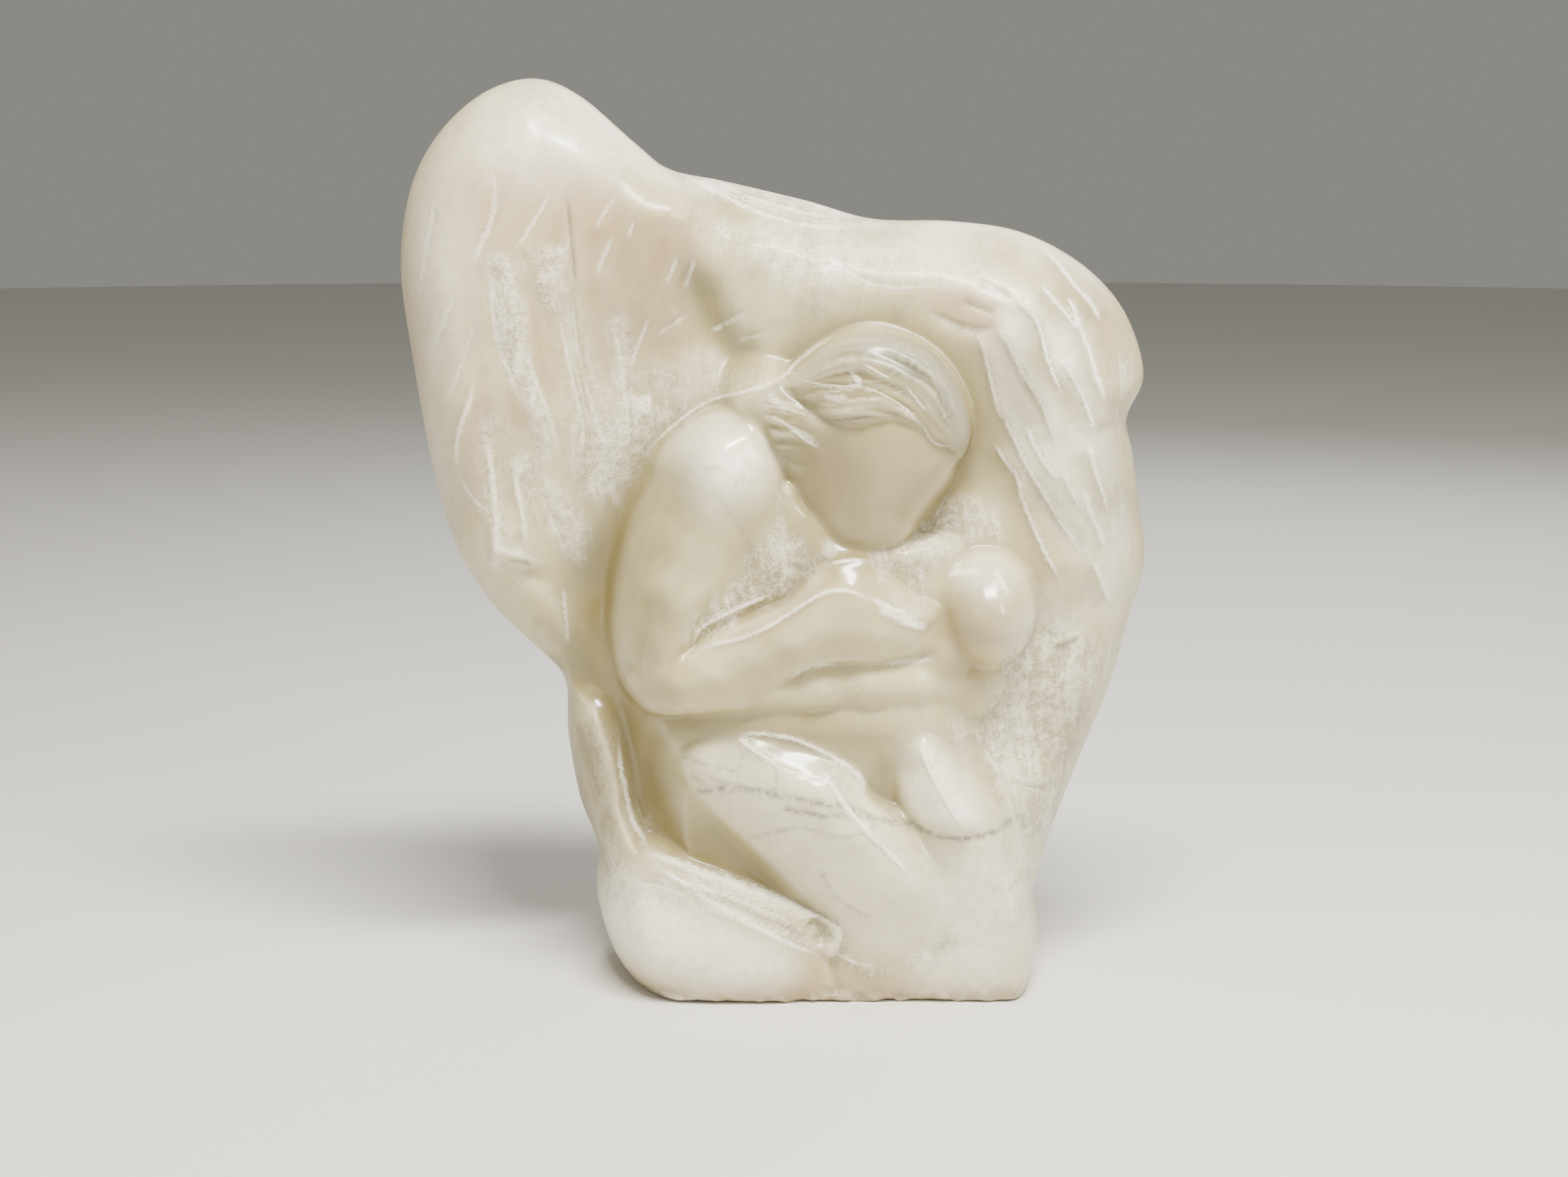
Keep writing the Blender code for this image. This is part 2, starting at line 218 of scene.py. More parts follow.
height = skin(gridX, gridZ, blockPlan["front"], blockPlan["frontSoft"])

nichePlan = {  # edge: x, z, how steep the wall falls; floor: x, z, height
    "edge": [(3, 259, 1.5), (-13, 253, 1.5), (-27, 246, 1.5), (-46, 232, 1.3), (-57, 218, 1.2),
             (-65, 203, 1.1), (-71, 188, 1.0), (-76, 172, 0.8), (-82, 158, 0.6), (-87, 146, 0.5),
             (-86, 128, 0.6), (-75, 117, 0.9), (-69, 101, 1.3), (-66, 87, 1.4), (-65, 77, 1.4),
             (-60, 65, 1.4), (-53, 58, 1.4), (-27, 51, 1.4), (3, 42, 1.4), (28, 34, 1.4), (60, 40, 1.4),
             (70, 100, 1.4), (20, 130, 1.4), (10, 220, 1.4)],
    "floor": [(-4, 252, 60), (-24, 247, 52), (-44, 232, 46), (-54, 213, 40), (-61, 193, 34), (-66, 172, 29),
              (-72, 152, 26), (-76, 130, 24), (-64, 112, 26), (-60, 94, 27), (-56, 78, 29), (-50, 66, 33),
              (-46, 100, 38), (-38, 114, 50), (-10, 120, 61), (20, 119, 64), (48, 117, 65), (-36, 80, 45),
              (-28, 65, 49), (-10, 58, 56), (8, 46, 60), (30, 50, 50), (60, 60, 50), (0, 200, 46),
              (30, 160, 46)],
    "soft": 8,
    "fillet": 5,  # where the wall meets the floor
    "lip": 1.2,  # how far the edge drops at once, and over how many mm
    "lipWidth": 2.5,
}
nicheLine = curveThrough(nichePlan["edge"], 4, closed=True)
nicheInward, nichePlace = inwardFrom(gridX, gridZ, nicheLine)
floor = skin(gridX, gridZ, nichePlan["floor"], nichePlan["soft"])
wall = (height - np.clip(nicheInward, 0, None) * columnAt(nicheLine, nichePlace, 2)
        - nichePlan["lip"] * ramp(nicheInward, 0, nichePlan["lipWidth"]))
hollowed = np.minimum(height, smoothMax(floor, wall, nichePlan["fillet"]))
height = np.where(nicheInward > 0, hollowed, height)


def grain(u, v, seed):  # soft noise from -1 to 1: random values on whole numbers, eased from one to the next
    table = np.random.default_rng(seed).uniform(-1, 1, (64, 64))
    u0, v0 = np.floor(u).astype(int), np.floor(v).astype(int)
    fu, fv = ramp(u - u0, 0, 1), ramp(v - v0, 0, 1)
    low = table[v0 % 64, u0 % 64] * (1 - fu) + table[v0 % 64, (u0 + 1) % 64] * fu
    high = table[(v0 + 1) % 64, u0 % 64] * (1 - fu) + table[(v0 + 1) % 64, (u0 + 1) % 64] * fu
    return low * (1 - fv) + high * fv


roughPlan = {  # layers of grain: strength, mm across, mm up, seed
    "patchEdge": [(1, 4, 9, 51)],
    "chiselled": [(0.35, 2.6, 3.4, 8)],
    "frosted": [(0.3, 2.2, 2.8, 11), (0.2, 4.5, 6.0, 12)],
    "handwork": [(0.35, 24, 28, 13), (0.15, 9, 11, 14)],
    "chipped": [(1.6, 6, 3, 31), (0.8, 2.4, 2, 32)],
    "chipFrost": [(1, 8, 4, 33)],
    "back": [(1.6, 34, 46, 41), (0.7, 13, 21, 42)],
    "greyHair": [(6, 7, 7, 3)],
}


def rough(x, z, kind):  # the layers of one kind of roughness, added up
    return sum(strength * grain(x / wide, z / tall, seed) for strength, wide, tall, seed in roughPlan[kind])


maps = {name: np.zeros(gridX.shape) for name in ("frost", "amberAndShade", "warm", "paleAndLit", "vein", "mark", "line")}
gridFrost, gridAmberAndShade, gridVein = maps["frost"], maps["amberAndShade"], maps["vein"]
gridMark, gridLine = maps["mark"], maps["line"]
gridLine += 9  # widths to the nearest fine line: far off, until lines are drawn

cutPlan = {
    "stub": 0.02,  # a line is a little above nothing at its very ends
    "thinning": 0.4,  # share of its width that a groove loses towards its ends
    "grooveFrost": 0.6,  # how far the frost of a wide groove follows its section
    "lineWidths": (1.0, 1.9),  # widths from its middle where a thin line starts and stops to fade
    "sharpness": 0.8,  # mm over which a cut edge drops
    "beyondEnd": 3,  # mm past its end over which a cut edge dies out
    "shadow": 0.4,  # honey tone under a cut edge, and its reach in mm
    "shadowReach": 7,
}


def taperAt(place, line, fade):  # a ramp up from one end of a line times a ramp down to the other
    part = place / (len(line) - 1)
    return ramp(part, -cutPlan["stub"], fade) * ramp(1 - part, -cutPlan["stub"], fade)


def stroke(width, depth, frost, points, fade=0.25):
    # a groove (or a burr, if depth is negative) that dies out at both ends; its section is a bell: e to the
    # minus square of the distance in widths
    line = curveThrough(points, 5)
    window = windowAround(points, 6 * width + 2)
    across, beyond, place = nearestOnLine(gridX[window], gridZ[window], line)
    taper = taperAt(place, line, fade)
    thinned = width * (1 - cutPlan["thinning"] * (1 - taper))
    bell = np.exp(-(across**2 + beyond**2) / thinned**2) * taper
    height[window] -= depth * bell
    if width > 1:
        gridFrost[window] = np.maximum(gridFrost[window], cutPlan["grooveFrost"] * frost * bell)
    if frost:  # a bright or (below 0) dark line: how strong, and how many widths away, with its side as sign; bright lines are frost, some of them painted highlights on lit ridges, and dark lines are mostly painted shade in their grooves
        gap = np.where(across > 0, 1, -1) * np.hypot(across, beyond) / width
        near = np.abs(gap) < np.abs(gridLine[window])
        strength = frost * taper * (1 - ramp(np.abs(gap), *cutPlan["lineWidths"]))
        gridLine[window] = np.where(near, gap, gridLine[window])
        gridMark[window] = np.where(near, strength, gridMark[window])


def step(lift, reach, points, fade=0.2):
    # a cut edge: on the right of the way the line runs the stone rises gently over reach; it drops at the line
    line = curveThrough(points, 5)
    window = windowAround(points, reach * 2.5)
    across, beyond, place = nearestOnLine(gridX[window], gridZ[window], line)
    taper = taperAt(place, line, fade) * np.exp(-(beyond / cutPlan["beyondEnd"]) ** 2)
    rise = ramp(across, -cutPlan["sharpness"], cutPlan["sharpness"])
    height[window] += lift * taper * rise * np.exp(-(np.clip(across, 0, None) / reach) ** 2)
    # painted shadow: an amber tone on the low side of the cut edge
    shadow = ramp(-across, -0.5, 2) * np.exp(-(across / cutPlan["shadowReach"]) ** 2)
    gridAmberAndShade[window] = np.maximum(gridAmberAndShade[window], cutPlan["shadow"] * taper * shadow)


def patch(points, soft, ragged=0.0):
    # a ramp over the distance to a closed outline, 1 inside and 0 outside it; ragged: mm the outline strays
    window = windowAround(points, 3 * soft + 2 + ragged)
    inward, _ = inwardFrom(gridX[window], gridZ[window], curveThrough(points, 4, closed=True))
    inward += ragged * rough(gridX[window], gridZ[window], "patchEdge")
    return window, ramp(inward, -soft, soft)

# the carved block: its crest, the valley under the hood, locks, grooves, scratches, lobe and chiselled face

blockMarks = {
    "crease": [(-44, 345), (-35, 339), (-24, 334), (-12, 328), (7, 321), (27, 318.5), (45, 322), (60, 327)],
    "groove": 1.6,  # depth and width of the crease
    "grooveWidth": 2.2,
    "creaseFades": (0.12, 0.3),  # parts of its length over which it starts and ends
    "setBack": 3.0,  # how far the crest stands back behind it, and over how many mm
    "setBackReach": 14,
    # width, depth, frost, points, fade
    "valley": (9, 5.5, 0.0, [(-36, 308), (-31, 294), (-24, 280), (-14, 267), (-6, 259)], 0.3),
    "lockLift": 0.85,  # how far the heights and the frost of the locks are carried out
    "lockFrost": 1.6,
    "lockFade": 0.12,
    "scratchFrost": 0.9,
    "locks": [  # lift, how far it dies away, frost, points
        (1.9, 9, 1.0, [(83, 278), (86, 270), (88, 262), (90, 254), (92, 247), (95.5, 241), (99, 233.5),
                       (102.5, 226), (107.5, 217.5), (113.5, 208), (119.5, 198.5), (126, 189)]),
        (1.7, 8, 1.0, [(91, 232), (95, 226), (99.5, 220), (102, 211), (105.5, 202), (109.5, 193),
                       (113.5, 185), (118, 177.5)]),
        (1.0, 6, 0.9, [(103, 240), (106.5, 232), (110.5, 225.5), (116, 219)]),
        (2.2, 9, 1.0, [(90, 281), (94, 275), (98, 268), (101, 262), (105, 256), (109, 249), (112, 241),
                       (115.5, 232)]),
        (1.7, 7, 1.0, [(98, 291), (104, 286), (107.5, 280), (109.5, 272), (112, 264), (116.5, 254)]),
        (1.6, 7, 1.0, [(116, 268), (120, 262), (124, 255), (128, 246), (131.5, 237)]),
        (1.6, 7, 1.0, [(120, 292), (123, 286), (125.5, 278), (129, 269), (131.5, 260), (135.5, 249.5)]),
        (1.1, 5, 0.8, [(109, 297), (114.5, 290.5), (120, 284), (124, 279)]),
        (1.3, 6, 0.9, [(112, 311), (118, 304), (124, 296), (130, 289.5), (134.5, 282)]),
        (1.3, 6, 0.9, [(127, 214), (130, 205), (134, 197), (137, 190)]),
        (1.2, 6, 0.8, [(128, 233), (131, 223), (134.5, 214), (138, 205)]),
        (1.2, 6, 0.8, [(132, 184), (136, 175.5), (140, 166)]),
        (0.8, 5, 0.6, [(118, 222), (122, 213), (127, 205)])],
    "hairlines": [  # width, depth, frost, points, as in the next three lists
        (0.9, 0.2, 0.8, [(-38, 343), (-18, 339), (4, 333), (26, 326), (40, 325)]),
        (0.9, 0.2, 0.7, [(-34, 342), (-12, 341), (14, 335), (38, 330)])],
    "grooves": [
        (2.0, 1.6, 0.5, [(62, 286.5), (69, 283), (76, 280), (83, 278.5), (91, 280)]),
        # the next two dark lines are painted shade in their grooves
        (1.6, 1.3, -0.4, [(76, 291), (83, 288.5), (91, 286)]),
        (1.6, 1.1, -0.3, [(82, 299.5), (89, 296), (97, 291)]),
        (1.3, 1.0, 0.5, [(142, 271), (143, 260), (142.5, 249)]),
        (1.2, 0.9, 0.5, [(145, 267), (145.5, 258), (145, 249)]),
        (1.2, 0.9, 0.4, [(148, 269), (149, 261), (148.5, 253)]),
        (1.2, 0.9, 0.4, [(141, 247), (142, 240), (143.5, 233)]),
        (1.3, 0.9, 0.5, [(144, 215), (145, 199), (145, 183)]),
        (1.2, 0.9, 0.4, [(148, 205), (149, 192), (148, 178)]),
        (1.2, 0.8, 0.4, [(140, 201), (141, 191), (141, 181)]),
        (2.2, 1.2, 0.1, [(130, 239), (137, 239), (145, 242)])],
    "crest": [  # streaks behind the crease
        (1.5, -0.7, 1.0, [(-42, 344.5), (-33, 339), (-22, 333.5), (-10, 327.5), (8, 321.5), (27, 319.5),
                          (44, 322.5)]),
        (1.2, 0.9, 0.8, [(-36, 341), (-20, 336), (-8, 331), (12, 325.5), (32, 322.5)]),
        (1.1, 0.8, 0.8, [(-28, 341), (-10, 336), (10, 331), (30, 328), (46, 326)]),
        (1.0, 0.6, 0.6, [(-16, 340), (4, 335), (24, 330)]),
        (1.0, 0.6, 0.6, [(20, 326), (36, 324.5), (56, 327)])],
    "scratches": [
        (1.6, 0.7, 0.7, [(-136.5, 334), (-138, 321), (-141, 309), (-143.5, 294)]),
        (1.4, 0.5, 0.55, [(-112, 342), (-111, 334), (-112.5, 325)]),
        (1.8, 0.8, 0.7, [(-110, 334), (-112, 324), (-116, 315), (-120.5, 304)]),
        (1.5, 0.7, 0.7, [(-88, 335), (-95, 323), (-103, 311)]),
        # a dark line painted as shade in this crease
        (1.0, 1.4, -0.7, [(-82, 333), (-81, 319), (-80, 306), (-79, 294)]),
        (1.2, 0.5, 0.55, [(-62, 334), (-68, 325), (-71, 320)]),
        (1.4, 0.6, 0.7, [(-55, 323), (-58, 316)]),
        (1.3, 0.6, 0.7, [(-64, 317), (-68, 308), (-71, 301)]),
        (1.4, 0.8, 0.7, [(-38, 309), (-43, 297)]),
        (1.4, 0.8, 0.7, [(-31, 308), (-36, 294)]),
        (1.8, 0.8, 0.7, [(-128, 293), (-133, 282), (-139, 268.5)]),
        (1.8, 0.8, 0.7, [(-120.5, 284), (-122, 274), (-127, 262), (-132, 250.5)]),
        (1.6, -0.8, 0.8, [(-120.5, 260), (-122.5, 250), (-126.5, 241), (-129, 230), (-129.5, 221)]),
        (1.7, -0.9, 0.9, [(-117, 238), (-115, 227), (-114, 214), (-113, 202), (-113.5, 190), (-114.5, 181)]),
        (1.6, -0.9, 0.9, [(-105.5, 226), (-104, 212), (-102, 200), (-101, 188)]),
        (1.5, 0.6, 0.7, [(-129, 221), (-125, 213), (-120, 207.5), (-114, 203)]),
        (1.7, -0.8, 0.9, [(-114, 181), (-113, 189), (-107, 187), (-101, 185), (-96, 181.5)]),
        # a painted shadow under that ledge
        (1.0, 0.8, -0.6, [(-109, 184), (-104, 183.5), (-99, 181)]),
        (1.5, 0.8, 0.8, [(-99.5, 273), (-97, 262), (-93.5, 252), (-90, 240), (-88, 228)]),
        (1.4, 0.7, 0.8, [(-86, 286), (-84, 272), (-81, 256), (-78.5, 242), (-77, 229)]),
        (1.2, 0.5, 0.6, [(-81, 292), (-80, 279), (-79, 267)]),
        (1.4, 0.7, 0.7, [(-78, 262), (-75, 251), (-72, 240), (-70, 231)]),
        (1.5, 0.8, 0.8, [(-64, 288), (-63, 271), (-61, 255), (-59.5, 242), (-59, 233)]),
        (1.4, 0.7, 0.7, [(-50, 284), (-54.5, 273), (-59, 261)]),
        (1.8, 0.8, 0.8, [(-112, 304), (-112.5, 290), (-110, 274), (-105.5, 260), (-101, 248)]),
        (1.4, 0.7, 0.7, [(-35, 284), (-47, 276)]),
        (1.4, 0.7, 0.8, [(-8, 287), (-17, 282), (-26, 277)]),
        (1.3, 0.6, 0.7, [(-1, 278), (-14, 274)]),
        (1.3, 0.6, 0.7, [(-96, 212), (-90, 197), (-86, 184)]),
        (1.2, 0.7, 0.55, [(-88, 172), (-87, 162), (-86, 144)]),
        (5.0, -1.6, 0.0, [(-109, 310), (-108, 290), (-105, 275), (-102, 262), (-98, 250), (-94, 238),
                          (-92, 226)]),
        (4.0, -1.0, 0.0, [(-92, 314), (-90, 302), (-90, 288)]),
        (3.5, -1.0, 0.0, [(-104, 228), (-101, 214), (-97, 198)]),
        (1.4, 0.5, 0.8, [(8, 300), (26, 305), (38, 298), (52, 296), (71, 297)])],
    "lobeRise": 1.5,  # the lobe at the hood's foot stands out, and falls away upwards between two heights
    "lobeFall": (4.0, 166, 182),
    "lobe": [(-119, 179), (-104, 180), (-94, 173), (-88, 160), (-86, 146), (-92, 141), (-104, 148),
             (-116, 162)],
    "stripDepth": 1.2,
    "strip": [(-131, 219), (-123, 206), (-117, 196), (-117, 180), (-126, 168), (-136, 185), (-144, 214),
              (-138, 224)],
    "chisel": [(86, 128), (94, 140), (103, 152), (121, 156), (142, 148), (138, 118), (122, 70), (112, 58),
               (104, 66), (98, 92), (84, 116)],
}

# the crest stands back behind its crease, which is a rounded groove
creaseLine = curveThrough(blockMarks["crease"], 6)
window = windowAround(blockMarks["crease"], 14)
across, beyond, place = nearestOnLine(gridX[window], gridZ[window], creaseLine)
part = place / (len(creaseLine) - 1)
fadeIn, fadeOut = blockMarks["creaseFades"]
creaseFade = ramp(part, 0, fadeIn) * ramp(1 - part, 0, fadeOut) * np.exp(-(beyond / 4) ** 2)
groove = blockMarks["groove"] * np.exp(-(across / blockMarks["grooveWidth"]) ** 2)
setBack = blockMarks["setBack"] * ramp(across, -1, 2) * np.exp(-(across / blockMarks["setBackReach"]) ** 2)
height[window] -= creaseFade * (groove + setBack)
stroke(*blockMarks["valley"])
window, inside = patch(blockMarks["lobe"], 2.5)
fall, fallFrom, fallTo = blockMarks["lobeFall"]
height[window] += inside * (blockMarks["lobeRise"] - fall * ramp(gridZ[window], fallFrom, fallTo))
window, inside = patch(blockMarks["strip"], 2)
height[window] -= blockMarks["stripDepth"] * inside
for lift, reach, frost, points in blockMarks["locks"]:  # each cut edge has a fine bright burr
    step(blockMarks["lockLift"] * lift, reach, points, blockMarks["lockFade"])
    stroke(1.2, -0.4, blockMarks["lockFrost"] * frost, points, blockMarks["lockFade"])
for row in blockMarks["grooves"] + blockMarks["crest"]:
    stroke(*row)
for row in blockMarks["hairlines"]:
    stroke(*row, fade=0.3)
for width, depth, frost, points in blockMarks["scratches"]:
    stroke(width, depth, blockMarks["scratchFrost"] * frost, points)

# flat chisel cuts: every point takes the tilted plane of the nearest of some scattered centres
chiselPlan = {"count": 90, "cut": 0.11, "uneven": 0.5, "upright": 1.5, "seed": 5}  # upright: height to width
window, inside = patch(blockMarks["chisel"], 3)
wx, wz = gridX[window], gridZ[window]
rng = np.random.default_rng(chiselPlan["seed"])
nearest, facet = np.full(wx.shape, np.inf), np.zeros(wx.shape)
for _ in range(chiselPlan["count"]):
    cx, cz = rng.uniform(wx.min(), wx.max()), rng.uniform(wz.min(), wz.max())
    tiltX, tiltZ = rng.uniform(-chiselPlan["cut"], chiselPlan["cut"], 2)
    gap = ((wx - cx) * chiselPlan["upright"]) ** 2 + (wz - cz) ** 2
    near = gap < nearest
    nearest[near] = gap[near]
    level = rng.uniform(-chiselPlan["uneven"], chiselPlan["uneven"])
    facet[near] = (tiltX * (wx - cx) + tiltZ * (wz - cz) + level)[near]
height[window] += inside * (facet + rough(wx, wz, "chiselled"))

accentPlan = [  # the lines cut last, mostly on the figures: width, depth, frost, points; some white lines are painted highlights and the dark ones mostly painted shade, as marked
    (1.6, 1.0, 0.0, [(24, 20), (26, 11), (30, 0)]),
    (4.0, 4.5, 0.0, [(15, 37), (19, 32), (22, 26)]),
    (2.4, 0.8, 0.0, [(48, 82), (56, 78), (66, 75), (78, 74), (90, 75), (99, 78)]),
    (2.4, 1.0, 0.0, [(-28, 155), (-19, 160), (-8, 164.5), (2, 169), (9, 175)]),
    # burrs along the forearm's upper rim; their white lines are also a painted highlight on the ridge
    (1.1, -1.0, 1.0, [(-33, 150), (-29, 159), (-18, 165.5), (-8, 170), (2, 174.5)]),
    (1.1, -1.2, 1.0, [(-33, 150), (-24, 153.5), (-12, 157), (0, 163), (10, 169.5), (19, 175.5), (27, 177.5),
                      (34, 176), (41, 172.5)]),
    # a painted shadow under the forearm's lower edge
    (2.0, 0.4, -0.15, [(12, 144), (18, 149), (31, 150), (46, 148.5), (62, 149.5), (68, 152)]),
    (1.4, -0.3, 1.0, [(6, 139), (12, 143), (18, 145), (27, 145.5)]),
    (1.4, -0.2, 0.6, [(44, 145), (56, 146), (66, 146)]),
    (1.4, -0.5, 1.0, [(38, 175), (46, 170.5), (52, 167), (60, 164)]),
    (1.4, -0.5, 1.0, [(42, 169.5), (48, 166.5), (56, 162)]),
    (1.0, 0.3, 0.8, [(24, 187), (31, 188), (39, 188)]),
    (1.0, -0.6, 0.9, [(-57, 223), (-48.5, 232), (-41.5, 238.5), (-33, 245.5), (-26, 249.5), (-15.5, 253.5),
                      (-8.5, 256), (0, 259), (6, 262), (10, 266), (16.5, 271.5), (22.5, 275.5), (30.5, 279)]),
    (0.9, -0.4, 0.3, [(28, 278), (39, 281), (47, 281), (57.5, 277.5), (64, 273.5), (69, 269.5), (74.5, 263),
                      (80, 253), (82, 243)]),
    # painted shade along the parting under the top of the hair
    (2.2, 1.8, -0.35, [(-3, 257.5), (2, 257), (8, 253), (15, 249), (22, 245.5), (31, 244)]),
    (0.9, 0.4, 0.9, [(2, 246), (8, 241), (14, 236), (21, 233)]),
    (0.8, 0.3, 0.6, [(-8, 251), (4, 249.5), (12, 247), (20, 245)]),
    (0.8, 0.3, 0.6, [(-3, 247), (4, 244), (12, 240), (18, 237)]),
    (0.9, 0.5, -0.5, [(4, 231), (9, 227), (15, 226)]),
    (1.6, 0.5, -0.15, [(-7, 245), (-2, 239), (2, 231), (5, 224), (9, 218)]),
    # the next three are painted highlights on the top of the shoulder, made as small frosted burrs
    (2.2, -0.2, 1.0, [(-28, 227.5), (-23, 228), (-18, 228)]),
    (2.0, -0.2, 1.0, [(-17, 228), (-16, 223), (-16, 218)]),
    (1.8, -0.2, 0.8, [(-12, 230), (-10, 224), (-10, 219)]),
    (1.5, -0.2, 1.0, [(-57, 252), (-56.5, 247), (-55.5, 243)]),
    (1.4, -0.2, 1.0, [(-53.5, 251), (-53.5, 247), (-52.5, 243)]),
    (1.5, -0.2, 1.0, [(-50.5, 252), (-51, 248), (-51, 244)]),
    # the next two are painted highlights: curved reflections on the top of the child's head
    (1.6, -0.2, 1.2, [(71, 180), (74, 182), (79, 183), (85, 183)]),
    (1.6, -0.2, 1.2, [(89, 184), (91.5, 181.5), (93.5, 178), (95, 174.5)]),
    # the next two are painted highlights on the knuckles
    (1.7, -0.5, 1.4, [(44, 172), (49, 169), (55, 167.5)]),
    (1.7, -0.5, 1.4, [(50, 165), (57, 162), (63, 160.5)]),
    (0.8, 0.4, 0.7, [(5, 262), (20, 259), (38, 258), (52, 251), (60, 243.5)]),
    (0.8, 0.4, 0.9, [(36, 268), (41, 265), (47, 261.5)]),
    (0.8, 0.4, 0.9, [(53, 259), (57, 254), (61, 249)]),
    (0.9, 0.4, 0.8, [(50, 249), (56, 246), (60, 243), (62, 239), (66, 235.5), (72, 234.5)]),
    (1.6, 0.2, 0.7, [(31, 265), (34, 261.5), (35, 258)]),
    (1.8, 0.2, 0.6, [(20, 255), (25, 254), (30, 255)]),
    (1.3, -0.8, 1.2, [(-16, 114), (-8, 115.5), (0, 115), (10, 113), (20, 108.5), (28, 104), (34, 99.5),
                      (38, 94), (36, 89)]),
    (1.4, -0.7, 1.3, [(-15, 114), (-5, 108), (4, 103)]),
    # the next two are burrs along the ridges of the leg and the knee, drawn white: painted highlights on the
    # ridges
    (1.3, -1.1, 2.2, [(20, 102), (24, 97), (29.5, 89), (39, 78), (49, 67.5), (58, 58)]),
    (1.3, -1.1, 2.2, [(60, 112), (63, 104), (68, 95), (73, 87), (77, 80)]),
    (0.9, 0.3, 0.5, [(-2, 104), (12, 100), (24, 97)]),
    (0.9, 0.3, 0.4, [(28, 86), (36, 82), (42, 83)]),
    (1.3, -0.8, 1.0, [(-56, 62), (-46, 60.5), (-36, 57), (-20, 52), (-5, 46.5), (10, 40.5), (22, 36),
                      (29, 32)]),
    (1.2, -0.6, 1.0, [(-34, 49.5), (-20, 42.5), (-8, 36), (5, 29), (15, 24), (24, 19)]),
    (1.0, 0.6, -0.5, [(-44, 53), (-25, 47), (-8, 40), (8, 33), (20, 27)]),
    (0.9, 0.3, 0.9, [(-40, 54), (-22, 48), (-4, 41), (10, 35)]),
    (0.9, 0.3, 0.9, [(-30, 44), (-14, 37.5), (2, 29.5), (14, 23)]),
    (0.9, 0.3, 0.8, [(-60, 52), (-44, 50), (-34, 46)]),
    (1.2, 0.5, 0.9, [(99, 51), (98.5, 44), (99.5, 36)]),
    (1.0, 0.5, 0.7, [(90, 100), (97, 88), (101, 74)]),
    (1.0, 0.5, 0.7, [(84, 112), (93, 99), (98, 88)]),
    (1.3, -0.3, 0.9, [(24, 22.5), (30, 20), (36, 18), (44, 17)]),
    (1.4, -0.4, 0.9, [(-65, 107), (-64, 95), (-62, 85), (-60, 75), (-56, 67), (-52, 62)]),
    (2.2, 0.2, 1.0, [(-54, 44), (-48, 42.5), (-41, 39)]),
    (1.6, 0.2, 0.8, [(-36, 37), (-30, 34), (-26, 31)]),
]

